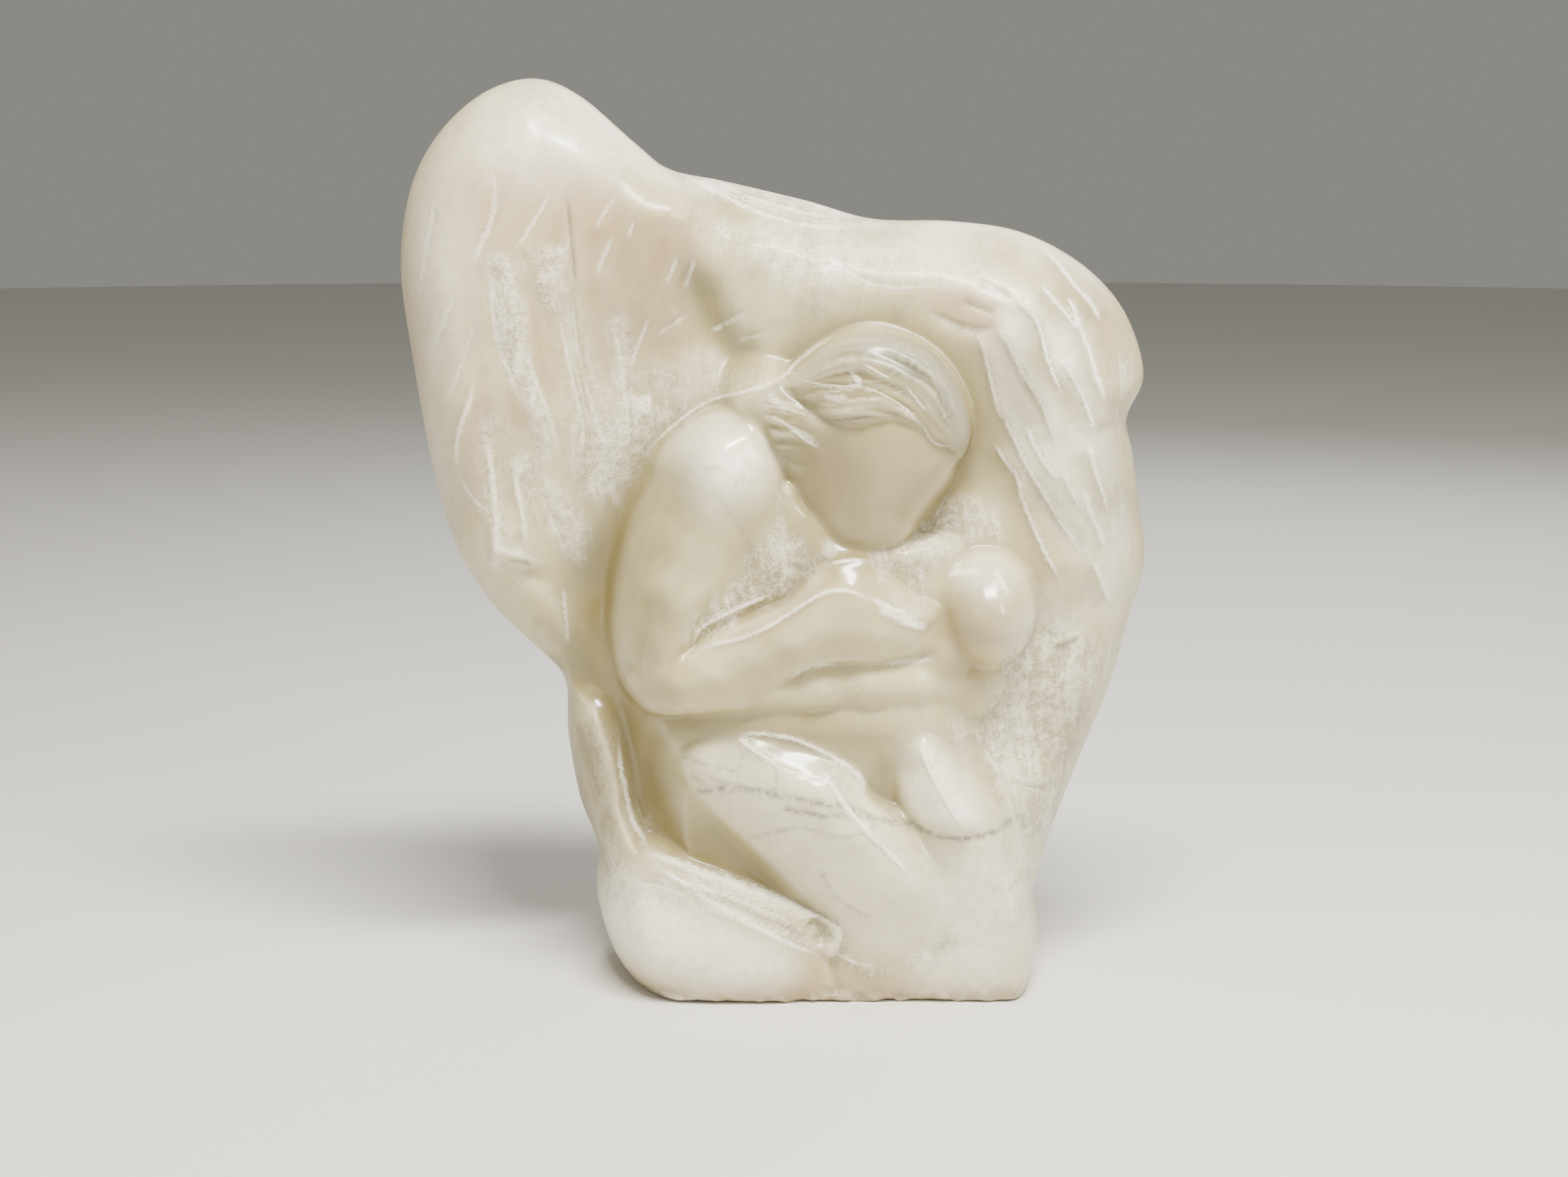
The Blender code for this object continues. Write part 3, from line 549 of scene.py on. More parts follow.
# rim: x, z, width of the rolled edge, its drop; points: x, z, height; soft: mm over which the skin is smooth;
# blend: fillet to what lies under it; softer: how much wider that gets, which way, and between which places
figurePlan = {
    "leg": {
        "rim": [(-17, 114, 5, 7), (-7, 115.5, 5, 7), (8, 113, 5, 7), (22, 108, 4, 7), (31, 102.5, 4, 8),
                (37, 96, 4, 9), (40, 90, 4, 8), (46, 83, 5, 4), (56, 76, 8, 2), (68, 70, 12, 2),
                (78, 58, 14, 2), (82, 44, 14, 2), (80, 28, 14, 2), (70, 17, 14, 2), (52, 12, 14, 2),
                (36, 14, 10, 3), (28, 24, 10, 5), (25, 34, 10, 6), (18, 41, 17, 8), (9, 48, 20, 10),
                (0, 56, 22, 12), (-9, 64, 22, 13), (-19, 73, 21, 14), (-28, 81, 20, 14), (-35, 89, 18, 14),
                (-39, 98, 15, 14), (-36, 107, 12, 13), (-28, 112, 9, 11)],
        "points": [(-14, 112, 60), (-7, 109, 64), (4, 102, 69), (19, 97, 73), (27, 88, 75.5), (38, 78, 77),
                   (52, 63, 76), (60, 54, 73.5), (8, 110, 61), (22, 105, 63), (33, 98, 65), (40, 87, 68),
                   (52, 76, 69), (62, 68, 67.5), (70, 56, 66.5), (76, 42, 65), (72, 28, 63.5), (56, 18, 63),
                   (-28, 104, 56), (-32, 94, 54), (-20, 98, 61), (-22, 86, 58), (-8, 92, 66), (-6, 76, 64),
                   (14, 82, 72), (16, 60, 68), (34, 64, 75), (6, 60, 64), (28, 44, 68), (46, 46, 74),
                   (30, 28, 63), (48, 28, 68), (60, 30, 67), (40, 18, 63)],
        "soft": 4, "blend": 2.5, "softer": (10, -1, -1, -96, -72)},
    "knee": {
        "rim": [(50, 113, 6, 10), (60, 118, 6, 8), (68, 115, 6, 9), (77, 107, 8, 7), (85, 98, 9, 7),
                (91, 89, 10, 8), (95, 80, 10, 8), (97, 72, 10, 10), (100, 60, 10, 12), (107, 47, 10, 12),
                (111, 36, 12, 12), (112, 20, 12, 10), (112, -14, 12, 8), (64, -14, 8, 2), (66, 10, 8, 2),
                (72, 24, 8, 3), (74, 40, 8, 3), (70, 52, 8, 2), (62, 68, 8, 3), (57, 76, 8, 5),
                (51, 86, 8, 8), (48, 96, 7, 10), (48, 105, 7, 10)],
        "points": [(60, 113, 63), (62, 109, 66), (65, 99, 71), (70, 90, 74.5), (76, 82, 76.5), (51, 106, 58),
                   (51, 96, 59), (55, 88, 62), (62, 82, 68), (58, 100, 63), (70, 108, 62), (78, 100, 63),
                   (85, 92, 64), (91, 83, 65), (84, 84, 70), (66, 72, 68), (76, 72, 72), (92, 73, 67),
                   (74, 56, 67), (88, 58, 69), (100, 60, 62), (80, 40, 66), (96, 42, 66), (107, 40, 60),
                   (82, 20, 64), (98, 20, 63), (108, 18, 58), (80, 4, 62), (98, 4, 61)],
        "soft": 4, "blend": 2.5},
    "foot": {
        "rim": [(-84, 34, 16, 24), (-79, 46, 14, 20), (-71, 52, 10, 12), (-60, 57, 8, 8), (-50, 60.5, 5, 5),
                (-34, 53, 4, 4), (-23, 46, 4, 4), (-9, 39, 4, 4), (4, 31, 4, 4), (14, 26, 4, 3),
                (24, 20, 4, 3), (26, 8, 5, 2), (28, -14, 5, 2), (-56, -16, 20, 14), (-84, 10, 20, 24)],
        "points": [(-72, 44, 50), (-60, 50, 56), (-54, 38, 64), (-40, 44, 65), (-30, 34, 69), (-46, 22, 68),
                   (-68, 26, 56), (-14, 26, 69), (-22, 10, 67), (4, 20, 67), (6, 6, 64), (20, 8, 62),
                   (-58, 10, 58), (-50, -4, 54), (-20, -6, 61), (0, -8, 60)],
        "soft": 8, "blend": 1.5},
    "ledge": {
        "rim": [(-56, 61, 2, 10), (-35, 57.5, 2, 12), (-19, 52.5, 2, 12), (-6, 47.5, 2, 10), (10, 40.5, 2, 8),
                (26, 35, 2, 6), (29, 31, 2, 6), (28, 25, 2, 4), (24, 21, 3, 2), (14, 25, 3, 2), (4, 30, 3, 2),
                (-9, 38, 3, 2), (-23, 45, 3, 2), (-34, 52, 3, 2), (-52, 59, 3, 2)],
        "points": [(-54, 60.5, 50), (-35, 57, 53.5), (-19, 52, 57), (-6, 47, 59), (10, 40, 61), (26, 34, 62),
                   (-50, 59, 51), (-34, 53, 57), (-23, 46, 63), (-9, 39, 65), (4, 31, 66), (14, 26, 66),
                   (24, 21, 65)],
        "soft": 3, "blend": 1},
    "arm": {
        "rim": [(-53, 217, 25, 27), (-48, 229, 21, 25), (-38, 239, 16, 22), (-28, 245, 15, 20),
                (-16, 247, 14, 18), (-6, 244, 10, 15), (0, 236, 8, 13), (4.5, 226, 8, 12), (5, 213, 11, 10),
                (-1, 199, 14, 8), (-8, 189, 14, 7), (-17, 177, 12, 6), (-25, 166, 10, 6), (-31, 154, 8, 7),
                (-36, 146, 8, 6), (-40, 136, 8, 4), (-34, 126, 8, 10), (-36, 121, 9, 14), (-50, 121, 12, 18),
                (-60, 127, 14, 26), (-66, 137, 17, 29), (-68.5, 150, 20, 31), (-68.5, 163, 22, 32),
                (-66.5, 181, 24, 31), (-61.5, 200, 26, 29)],
        "points": [(-20, 222, 71), (-25, 206, 71), (-30, 190, 70), (-38, 170, 69), (-44, 152, 68),
                   (-46, 138, 66), (-35, 222, 62), (-42, 206, 59), (-48, 188, 59), (-53, 168, 59),
                   (-56, 150, 59), (-57, 137, 58), (-6, 226, 65), (-6, 212, 66), (-11, 200, 66),
                   (-19, 184, 66), (-28, 164, 64), (-34, 150, 65), (-38, 128, 63), (-52, 128, 60),
                   (-18, 236, 66), (-34, 232, 61), (-4, 234, 63)],
        "soft": 7, "blend": 4, "softer": (9, -1, 0, 36, 56)},
    "forearm": {
        "rim": [(-34, 150, 3, 5), (-24, 157, 3, 6), (-9, 164, 3, 6), (4, 170, 3, 6), (11, 176, 3, 6),
                (16, 183, 4, 6), (21, 188, 4, 6), (32, 190, 4, 6), (42, 188, 4, 6), (49, 181, 4, 6),
                (56, 175, 6, 6), (63, 172, 9, 5), (72, 168, 12, 4), (76, 158, 12, 4), (70, 150, 9, 4),
                (46, 147, 5, 3), (31, 147, 5, 3), (18, 146, 5, 3), (8, 141, 5, 4), (-2, 132, 7, 4),
                (-10, 123, 8, 14), (-21, 121, 10, 20), (-36, 120, 10, 22), (-50, 121, 12, 24),
                (-59, 128, 14, 26), (-60, 138, 12, 10), (-48, 148, 8, 5)],
        "points": [(-31, 151, 65), (-14, 156, 69), (4, 166, 71.5), (12, 171, 73), (19, 176, 74),
                   (27, 178, 74.5), (34, 176, 74.5), (42, 172, 73), (51, 167, 71), (63, 163, 67),
                   (22, 185, 67), (32, 187, 67), (42, 184, 66), (-40, 138, 68), (-24, 142, 71),
                   (-8, 150, 74), (6, 156, 76), (18, 162, 77), (30, 163, 77), (44, 160, 75), (58, 156, 68),
                   (66, 160, 63), (72, 158, 60), (-44, 128, 62), (-24, 128, 64), (-8, 136, 68), (8, 147, 71),
                   (30, 151, 72), (50, 151, 69)],
        "soft": 3, "blend": 2},
    "lap": {
        "rim": [(-30, 128, 6, 3), (-10, 133, 5, 3), (8, 144, 4, 3), (18, 149, 4, 2), (31, 150, 4, 2),
                (46, 149, 4, 2), (61, 150, 5, 2), (72, 149, 6, 3), (82, 142, 10, 6), (80, 129, 10, 9),
                (68, 121.5, 8, 9), (52, 120.5, 8, 10), (35, 122.5, 8, 10), (18, 123.5, 8, 10),
                (0, 120.5, 8, 10), (-21, 122, 8, 10), (-34, 121, 8, 12)],
        "points": [(10, 142, 63), (30, 147, 63), (50, 146, 63), (64, 146, 60), (0, 132, 66), (20, 136, 68),
                   (40, 137, 68), (60, 136, 65), (72, 138, 58), (-20, 128, 62), (0, 126, 62), (30, 128, 63),
                   (52, 127, 62), (66, 127, 58)],
        "soft": 5, "blend": 2},
    "chest": {
        "rim": [(7, 219, 6, 6), (13, 209, 7, 6), (20, 201, 6, 6), (28, 193, 6, 6), (48, 192, 6, 6),
                (60, 195, 8, 10), (72, 197, 10, 10), (80, 190, 10, 10), (80, 160, 6, 10), (60, 150, 6, 10),
                (0, 140, 6, 10), (-40, 140, 6, 10), (-34, 166, 8, 10), (-16, 194, 8, 10), (-2, 214, 8, 8)],
        "points": [(8, 216, 59), (2, 202, 59.5), (-8, 184, 61), (-20, 166, 61), (-28, 154, 59),
                   (4, 186, 61.5), (14, 198, 60), (18, 186, 63), (8, 178, 61), (-6, 168, 60), (24, 189, 65),
                   (44, 190, 65), (58, 195, 64), (76, 195, 57), (54, 180, 63), (64, 174, 62), (70, 186, 59)],
        "soft": 6, "blend": 2},
    "head": {
        "rim": [(1, 256, 8, 9), (11, 264, 9, 11), (21, 272, 9, 12), (32, 277, 9, 12), (42, 277.5, 9, 12),
                (53, 275, 9, 13), (63, 270, 9, 14), (71, 261.5, 9, 15), (76.5, 251, 9, 16), (79, 241, 9, 16),
                (78, 233, 9, 16), (74, 226, 9, 15), (70, 220, 12, 13), (64, 212, 13, 12),
                (58.5, 203.5, 13, 10), (55, 197, 12, 9), (49, 192, 12, 8), (40, 189, 11, 8),
                (31, 189, 11, 8), (24, 192, 11, 8), (17, 199, 12, 8), (12, 207, 12, 8), (4, 217, 12, 7),
                (-4, 228, 11, 7), (-8, 240, 10, 7), (-8, 252, 9, 8)],
        "points": [(44, 248, 76), (44, 230, 76), (46, 213, 73), (44, 200, 69), (34, 200, 67), (33, 214, 70),
                   (32, 232, 73), (54, 206, 68), (61, 219, 70), (67, 234, 71), (66, 252, 72), (52, 266, 71),
                   (36, 268, 70), (20, 262, 65), (10, 256, 60), (18, 242, 67), (14, 228, 61), (20, 210, 60),
                   (26, 222, 67), (6, 240, 57), (25, 198, 62)],
        "soft": 6, "blend": 3, "softer": (6, 0, -1, -216, -198)},
}


ballPlan = [  # x, z, top, half width, half height, fall to the rim, turn in degrees, fillet
    (1, 243, 63, 15, 18, 12, -30, 5),  # where the hair meets the shoulder
    (70, 152, 64, 14, 15, 12, 0, 5),  # where the forearm ends at the child's head
    (86, 170.5, 71, 23, 21, 34, -14, 3),  # the child's head: a broad egg, and an upright one that stands out
    (88, 164.5, 76.5, 21.5, 25, 42, 0, 3),
    (80, 136, 59, 17, 17, 14, 0, 6),  # and the stone that carries it
]
shoulderPlan = {"place": (-18, 226), "rise": 4.5, "spread": 15}

blockHeight = height.copy()
for name in ("knee", "foot", "ledge", "leg", "chest", "lap", "arm", "forearm", "head"):
    plan = figurePlan[name]
    more, turnX, turnZ, low, high = plan.get("softer", (0, 1, 0, 0, 1))
    window = windowAround(plan["rim"], 12)
    wx, wz = gridX[window], gridZ[window]
    blend = plan["blend"] + more * ramp(turnX * wx + turnZ * wz, low, high)
    height[window] = smoothMax(height[window], pillow(wx, wz, plan), blend)
shoulderGap = (gridX - shoulderPlan["place"][0]) ** 2 + (gridZ - shoulderPlan["place"][1]) ** 2
height += shoulderPlan["rise"] * np.exp(-shoulderGap / (2 * shoulderPlan["spread"] ** 2))
for x, z, top, halfWidth, halfHeight, fall, turn, fillet in ballPlan:
    window = windowAround([(x, z)], 40)
    ball = egg(gridX[window], gridZ[window], (x, z), top, (halfWidth, halfHeight), fall, turn)
    height[window] = smoothMax(height[window], ball, fillet)

# dressed stone is where the block shows, and neither a figure nor the hollow
maps["stone"] = (1 - ramp(height - blockHeight, 0.3, 3)) * ramp(-nicheInward, -4, 4)

# hair: a thin layer on the skull, parted into strands that run from the pole beside the shoulder
hairPlan = {
    "cap": [(0, 257), (11, 265.5), (21, 273.5), (32, 278.5), (42, 279), (53.5, 276.5), (64, 271.5),
            (72, 262.5), (78, 251.5), (80.5, 241), (80, 233), (77, 226), (74, 231), (69, 235), (63, 239),
            (58, 243.5), (51, 246.5), (40, 246), (35, 244), (25, 244.5), (17, 248), (10, 253)],
    "locks": [(-12, 252), (0, 258), (10, 253.5), (17, 248.5), (25, 244.5), (33, 243), (29, 238), (21, 232),
              (17, 227), (12, 221), (5, 222), (0, 234), (-3, 243)],
    "flow": [  # x, z, mm across the strands from the outer rim
        (12, 269, 0), (32, 281, 0), (54, 279, 0), (72, 265, 0), (80, 243, 0), (24, 273, 5), (35, 275, 6),
        (46, 274, 6), (65, 258, 10), (76, 238, 10), (16, 264, 10), (28, 267, 13), (39, 264, 16),
        (48, 260, 17), (58, 252, 19), (67, 241, 20), (8, 258, 15), (18, 258, 20), (29, 256, 24),
        (40, 254, 26), (51, 249, 28), (10, 253, 24), (17, 248, 30), (25, 245, 34), (35, 244, 36),
        (47, 247, 32), (58, 244, 28), (69, 235, 27), (0, 250, 34), (8, 245, 40), (16, 240, 44),
        (24, 237, 46), (-3, 246, 42), (4, 242, 45), (9, 239, 48), (14, 235, 50), (21, 233, 53),
        (-3, 240, 49), (3, 234, 54), (9, 229, 57), (15, 227, 58)],
    "thickness": 3.2,
    "rim": 3.5,  # mm over which the layer rounds off
    "relief": 1.1,
    "crowding": 1.9,  # strands that are squeezed more than this lose their relief
    "coarse": [(1.1, 3.1, 26, 5, 21), (0.7, 1.5, 15, 9, 22), (0.35, 0.8, 9, 0, 23)],
    "fine": [(1, 1.2, 30, 3, 24), (0.6, 2.7, 24, 8, 25)],  # both: strength, mm across, mm along, shift, seed
    "frost": 0.45,
    "amberAndShade": (0.62, 0.38),  # honey tone everywhere, and painted shade added where the strands sink
    "dull": 0.8,  # how far it is as dull as dressed stone
    "grey": 0.55,  # between the fine strands
    "greyRim": 24,  # mm of strands from the outer rim that are all grey
}
hairWindow = windowAround(hairPlan["cap"] + hairPlan["locks"], 14)
hx, hz = gridX[hairWindow], gridZ[hairWindow]
strand = skin(hx, hz, hairPlan["flow"], 5)
squeeze = np.hypot(*np.gradient(strand, gridStep))
hairCover = np.zeros(hx.shape)
for part in ("cap", "locks"):
    inward, _ = inwardFrom(hx, hz, curveThrough(hairPlan[part], 4, closed=True))
    fading = 1
    if part == "locks":  # the lock beside the shoulder dies out to the right, downwards and at its left end
        fading = (1 - ramp((hx + 5) * 0.92 - (hz - 250) * 0.39, 8, 32)) * ramp(hx, -14, 2)
    covered = dome(np.clip(1 - inward / hairPlan["rim"], 0, 1)) * (inward > 0)
    hairCover = np.maximum(hairCover, covered * fading)


def strandLayers(layers):  # grain drawn out along the strands
    return sum(strength * grain(strand / wide, hx / long + shift, seed)
               for strength, wide, long, shift, seed in layers)


strandRise = strandLayers(hairPlan["coarse"]) / (1 + (squeeze / hairPlan["crowding"]) ** 4)
height[hairWindow] += hairCover * (hairPlan["thickness"] + hairPlan["relief"] * strandRise)
fineHair = strandLayers(hairPlan["fine"])
hairFrost = hairPlan["frost"] * hairCover * ramp(fineHair, 0.1, 0.9)
gridFrost[hairWindow] = np.maximum(gridFrost[hairWindow], hairFrost)
window, inside = patch([(66, 239), (76, 245), (81, 232), (73, 224)], 4)
gridFrost[window] *= 1 - inside  # the end by the temple is polished
# painted shade: the hair darkens where its strands sink
base, added = hairPlan["amberAndShade"]
hairAmberAndShade = hairCover * (base + added * ramp(-strandRise, -0.3, 0.7))
gridAmberAndShade[hairWindow] = np.maximum(gridAmberAndShade[hairWindow], hairAmberAndShade)
maps["stone"][hairWindow] = np.maximum(maps["stone"][hairWindow], hairPlan["dull"] * hairCover)
print("front height map done")

# where the stone is frosted, warm, amber or veined, and where shade and light are painted on it

surfacePlan = {
    "frost": [  # strength, softness, outline, as in the next three lists
        (0.5, 6, [(-30, 326), (4, 316), (40, 312), (80, 312), (84, 300), (40, 300), (0, 304), (-24, 314)]),
        # painted light: the lit upper right flank of the hood, whitened as a light frost
        (0.4, 3, [(-97, 371), (-82, 370), (-62, 355), (-46, 344), (-58, 346), (-73, 353), (-89, 363)]),
        (0.95, 1.5, [(-114, 306), (-104, 308), (-100, 290), (-97, 272), (-94, 256), (-90, 240), (-90, 226),
                     (-95, 226), (-99, 242), (-104, 256), (-109, 268), (-113, 284)]),
        (0.9, 2.5, [(-98, 311), (-84, 312), (-82, 298), (-86, 288), (-94, 290), (-98, 300)]),
        (0.5, 3, [(-88, 288), (-78, 290), (-72, 262), (-66, 240), (-70, 222), (-84, 214), (-88, 236),
                  (-86, 262)]),
        (0.8, 2.5, [(-80, 240), (-62, 246), (-50, 250), (-40, 244), (-52, 228), (-62, 212), (-72, 206),
                    (-82, 212)]),
        (0.7, 2, [(-67, 280), (-60, 284), (-57, 262), (-57, 246), (-64, 246)]),
        (1.0, 1, [(-58, 251), (-50, 251), (-51, 243), (-56, 242)]),
        (0.8, 2, [(-118, 238), (-112, 240), (-110, 215), (-109, 190), (-114, 184), (-117, 205)]),
        (0.9, 2, [(-106, 226), (-98, 226), (-95, 214), (-98, 200), (-103, 210)]),
        (0.7, 2, [(-98, 214), (-84, 214), (-78, 200), (-78, 184), (-86, 182), (-92, 196)]),
        (0.6, 2, [(-116, 180), (-114, 190), (-104, 190), (-94, 186), (-94, 180), (-104, 184)]),
        (0.45, 4, [(-60, 264), (-30, 264), (-12, 262), (2, 268), (0, 259), (-13, 254), (-30, 246),
                   (-44, 238)]),
        (0.7, 5, [(-1, 318), (30, 318), (34, 300), (8, 296), (-4, 304)]),
        (0.8, 4, [(-41, 344), (-20, 341), (14, 333), (45, 327), (75, 326), (58, 321), (14, 321), (-20, 334)]),
        (0.12, 8, [(60, 310), (100, 318), (140, 300), (156, 260), (150, 232), (158, 190), (150, 150),
                   (130, 90), (114, 60), (92, 80), (84, 110), (96, 140), (110, 170), (104, 200), (98, 240),
                   (94, 270), (80, 290)]),
        (0.85, 4, [(89, 132), (103, 152), (121, 158), (142, 146), (134, 110), (120, 70), (106, 62), (98, 90),
                   (84, 116)]),
        (0.12, 4, [(2, 136), (10, 142), (18, 146), (60, 148), (72, 142), (74, 130), (60, 124), (10, 126),
                   (-10, 130)]),
        (0.85, 2.5, [(3, 214), (6, 198), (15, 192), (22, 190), (10, 176), (-8, 167), (-28, 155), (-30, 161),
                     (-14, 182), (0, 204)]),
        (0.85, 3, [(44, 190), (58, 197), (72, 206), (86, 206), (90, 196), (70, 188), (66, 178), (64, 168),
                   (58, 172), (50, 182)]),
        (0.3, 3, [(-83, 118), (-73, 116), (-66, 104), (-64, 88), (-60, 76), (-52, 64), (-62, 56), (-72, 62),
                  (-75, 78), (-79, 96)]),
        (0.75, 4, [(-76, 52), (-62, 58), (-50, 57), (-38, 50), (-50, 46), (-66, 38), (-74, 42)]),
        (0.45, 3, [(-50, 58), (-19, 49), (22, 32), (18, 26), (2, 31), (-22, 42), (-44, 48)]),
        (0.7, 4, [(76, 114), (86, 101), (95, 84), (100, 66), (112, 60), (114, 90), (98, 112), (84, 122)]),
        (0.8, 2.5, [(56, 19), (66, 25), (76, 33), (76, 26), (64, 16)]),
        (0.45, 3, [(92, 70), (101, 70), (106, 40), (98, 30), (94, 46)]),
        (0.8, 2, [(22, 32), (28, 18), (44, 12), (46, 16), (34, 20), (27, 34)])],
    # honey tone of the stone, and painted shade: in the niche, under the arm and the lap, on the face that is
    # turned down and its left side, at the elbow, in the crevice by the shoulder and below the child's head;
    # also darker along the bottom edge
    "amberAndShade": [
        (0.45, 7, [(78, 182), (90, 186), (98, 172), (94, 156), (80, 148), (68, 154), (70, 170)]),
        (0.5, 2.5, [(-60, -2), (-20, 4), (30, 4), (80, 5), (112, 8), (116, -8), (60, -16), (-60, -14)]),
        (0.9, 4, [(-86, 112), (-76, 112), (-68, 92), (-64, 70), (-72, 64), (-78, 80), (-84, 98)]),
        (0.45, 4, [(-52, 58), (-30, 53), (-6, 44), (22, 32), (20, 25), (0, 32), (-24, 42), (-46, 49)]),
        (0.6, 6, [(-56, 176), (-40, 176), (-32, 160), (-36, 148), (-50, 142), (-60, 152)]),
        (0.55, 5, [(28, 208), (60, 208), (52, 192), (40, 184), (22, 180), (8, 176), (14, 196)]),
        (0.4, 3, [(-36, 335), (-22, 328), (8, 316), (40, 313), (58, 318), (42, 319.5), (26, 317), (7, 319.5),
                  (-12, 326), (-24, 332)]),
        (0.35, 5, [(92, 262), (100, 244), (112, 216), (104, 206), (96, 226), (88, 250)]),
        (0.48, 6, [(14, 244), (68, 244), (76, 226), (60, 198), (42, 188), (26, 190), (12, 214)]),
        (0.75, 2.5, [(12, 37), (20, 36.5), (23.5, 29), (22.5, 24), (18, 27), (14, 33)]),
        (0.4, 8, [(-62, 150), (-48, 150), (-38, 140), (-40, 124), (-60, 124), (-68, 140)]),
        (0.55, 8, [(-30, 160), (-10, 175), (4, 200), (14, 200), (14, 180), (-4, 164)]),
        (0.5, 6, [(-50, 124), (-20, 122), (20, 124), (52, 122), (60, 114), (20, 112), (-50, 112)]),
        (0.75, 2, [(-4, 242), (4, 243), (14, 238), (20, 230), (16, 216), (11, 215), (6, 221), (2, 230)]),
        (0.4, 5, [(-46, 232), (-34, 246), (-20, 250), (-6, 248), (-6, 243), (-20, 245), (-32, 240),
                  (-42, 228)]),
        (0.6, 9, [(-54, 226), (-44, 234), (-40, 214), (-48, 180), (-58, 156), (-68, 156), (-64, 196)]),
        (1.0, 9, [(-81, 184), (-75, 198), (-58, 218), (-50, 212), (-58, 184), (-66, 152), (-64, 124),
                  (-56, 104), (-56, 76), (-64, 88), (-72, 116), (-86, 130), (-88, 150)]),
        (0.95, 7, [(-50, 110), (-30, 118), (40, 118), (48, 112), (20, 110), (-38, 112), (-46, 92), (-20, 66),
                  (0, 52), (-8, 50), (-50, 62), (-58, 86)]),
        (0.62, 6, [(-36, 306), (-26, 302), (-19, 282), (-6, 265), (-12, 258), (-28, 274), (-39, 296)]),
        (0.8, 9, [(8, 228), (22, 234), (27, 212), (30, 190), (24, 188), (12, 206)]),
        (1.0, 3, [(66, 239), (78, 246), (81, 230), (73, 224)]),
        (0.6, 4, [(43, 108), (42, 96), (46, 88), (50, 92), (48, 106)]),
        (0.45, 5, [(74, 150), (84, 144), (90, 132), (80, 124), (74, 134)]),
        (0.55, 4, [(94, 264), (103, 252), (110, 238), (104, 234), (96, 246)]),
        (0.5, 4, [(104, 232), (118, 216), (130, 194), (122, 194), (108, 212)]),
        (0.5, 4, [(120, 258), (132, 244), (128, 238), (116, 254)]),
        (0.45, 4, [(100, 284), (108, 276), (112, 262), (106, 260), (100, 274)]),
        (1.0, 6, [(-92, 138), (-85, 118), (-79, 92), (-75, 66), (-74, 50), (-84, 46), (-98, 100)]),
        (0.35, 6, [(-60, 8), (-20, 5), (40, 4), (112, 5), (112, -6), (-60, -6)])],
    "warm": [
        (0.8, 7, [(66, 302), (90, 300), (100, 270), (92, 262), (80, 280), (60, 290)]),
        (0.6, 7, [(120, 300), (140, 290), (150, 262), (140, 256), (128, 276)]),
        (0.6, 7, [(100, 180), (116, 176), (140, 180), (136, 190), (112, 190)]),
        (0.6, 7, [(-130, 250), (-116, 262), (-108, 230), (-118, 200), (-132, 206)]),
        (0.95, 7, [(-72, 324), (-50, 326), (-30, 318), (-34, 300), (-50, 292), (-66, 300)]),
        (0.8, 5, [(-98, 288), (-86, 290), (-84, 262), (-90, 250), (-96, 262)]),
        (0.7, 4, [(-78, 312), (-70, 312), (-66, 286), (-76, 284)]),
        (0.7, 4, [(-110, 262), (-102, 262), (-96, 240), (-108, 240)]),
        (0.8, 6, [(10, 196), (-4, 184), (-20, 168), (-8, 160), (10, 172), (20, 184)]),
        (0.7, 8, [(-60, 140), (-46, 150), (-36, 142), (-40, 126), (-54, 126)]),
        (1.0, 6, [(-60, 16), (-20, 13), (20, 20), (36, 12), (112, 10), (112, -6), (-60, -6)]),
        (0.9, 14, [(-146, 320), (-130, 350), (-90, 356), (-60, 330), (-50, 310), (-80, 300), (-100, 316),
                   (-118, 290), (-134, 262), (-142, 220), (-136, 182), (-120, 164), (-140, 190),
                   (-156, 270)]),
        (0.9, 4, [(-97, 286), (-88, 286), (-87, 262), (-95, 256)]),
        (0.8, 4, [(142, 250), (134, 248), (132, 234), (142, 232)]),
        (0.7, 12, [(-74, 300), (-40, 296), (-40, 262), (-70, 262)]),
        (0.6, 5, [(18, 240), (66, 240), (74, 224), (60, 198), (42, 190), (26, 192), (14, 214)]),
        (0.45, 12, [(110, 40), (64, 62), (70, 10), (104, 10)]),
        (0.9, 7, [(68, 166), (74, 142), (92, 140), (108, 156), (104, 170)]),
        (0.45, 10, [(-54, 130), (-20, 130), (20, 130), (70, 128), (60, 124), (-20, 120), (-54, 124)]),
        (0.5, 6, [(124, 246), (144, 250), (146, 236), (128, 232)]),
        (0.35, 8, [(62, 292), (84, 292), (92, 282), (70, 282)])],
    # whiter stone, and painted light on lit tops: the shoulder, the child's head, the hood's top and its left
    # side, the knee and the foot
    "paleAndLit": [
        (0.5, 8, [(-150, 300), (-144, 334), (-128, 344), (-120, 318), (-126, 280), (-134, 250), (-146, 260)]),
        (0.6, 6, [(94, 262), (108, 262), (124, 236), (128, 206), (116, 206), (104, 230), (96, 246)]),
        (0.6, 7, [(-34, 236), (-20, 240), (-10, 230), (-12, 214), (-26, 210), (-36, 222)]),
        (0.9, 3, [(91, 288), (102, 288), (106, 276), (98, 272), (92, 280)]),
        (0.9, 3, [(112, 281), (122, 281), (126, 264), (120, 260), (113, 268)]),
        (0.9, 2.5, [(119, 241), (126, 240), (127, 230), (121, 230)]),
        (0.45, 9, [(-150, 300), (-142, 340), (-124, 362), (-114, 350), (-130, 322), (-138, 270), (-130, 214),
                   (-142, 220)]),
        (0.7, 5, [(88, 276), (98, 278), (108, 250), (122, 222), (134, 196), (128, 186), (112, 206), (98, 232),
                  (90, 256)]),
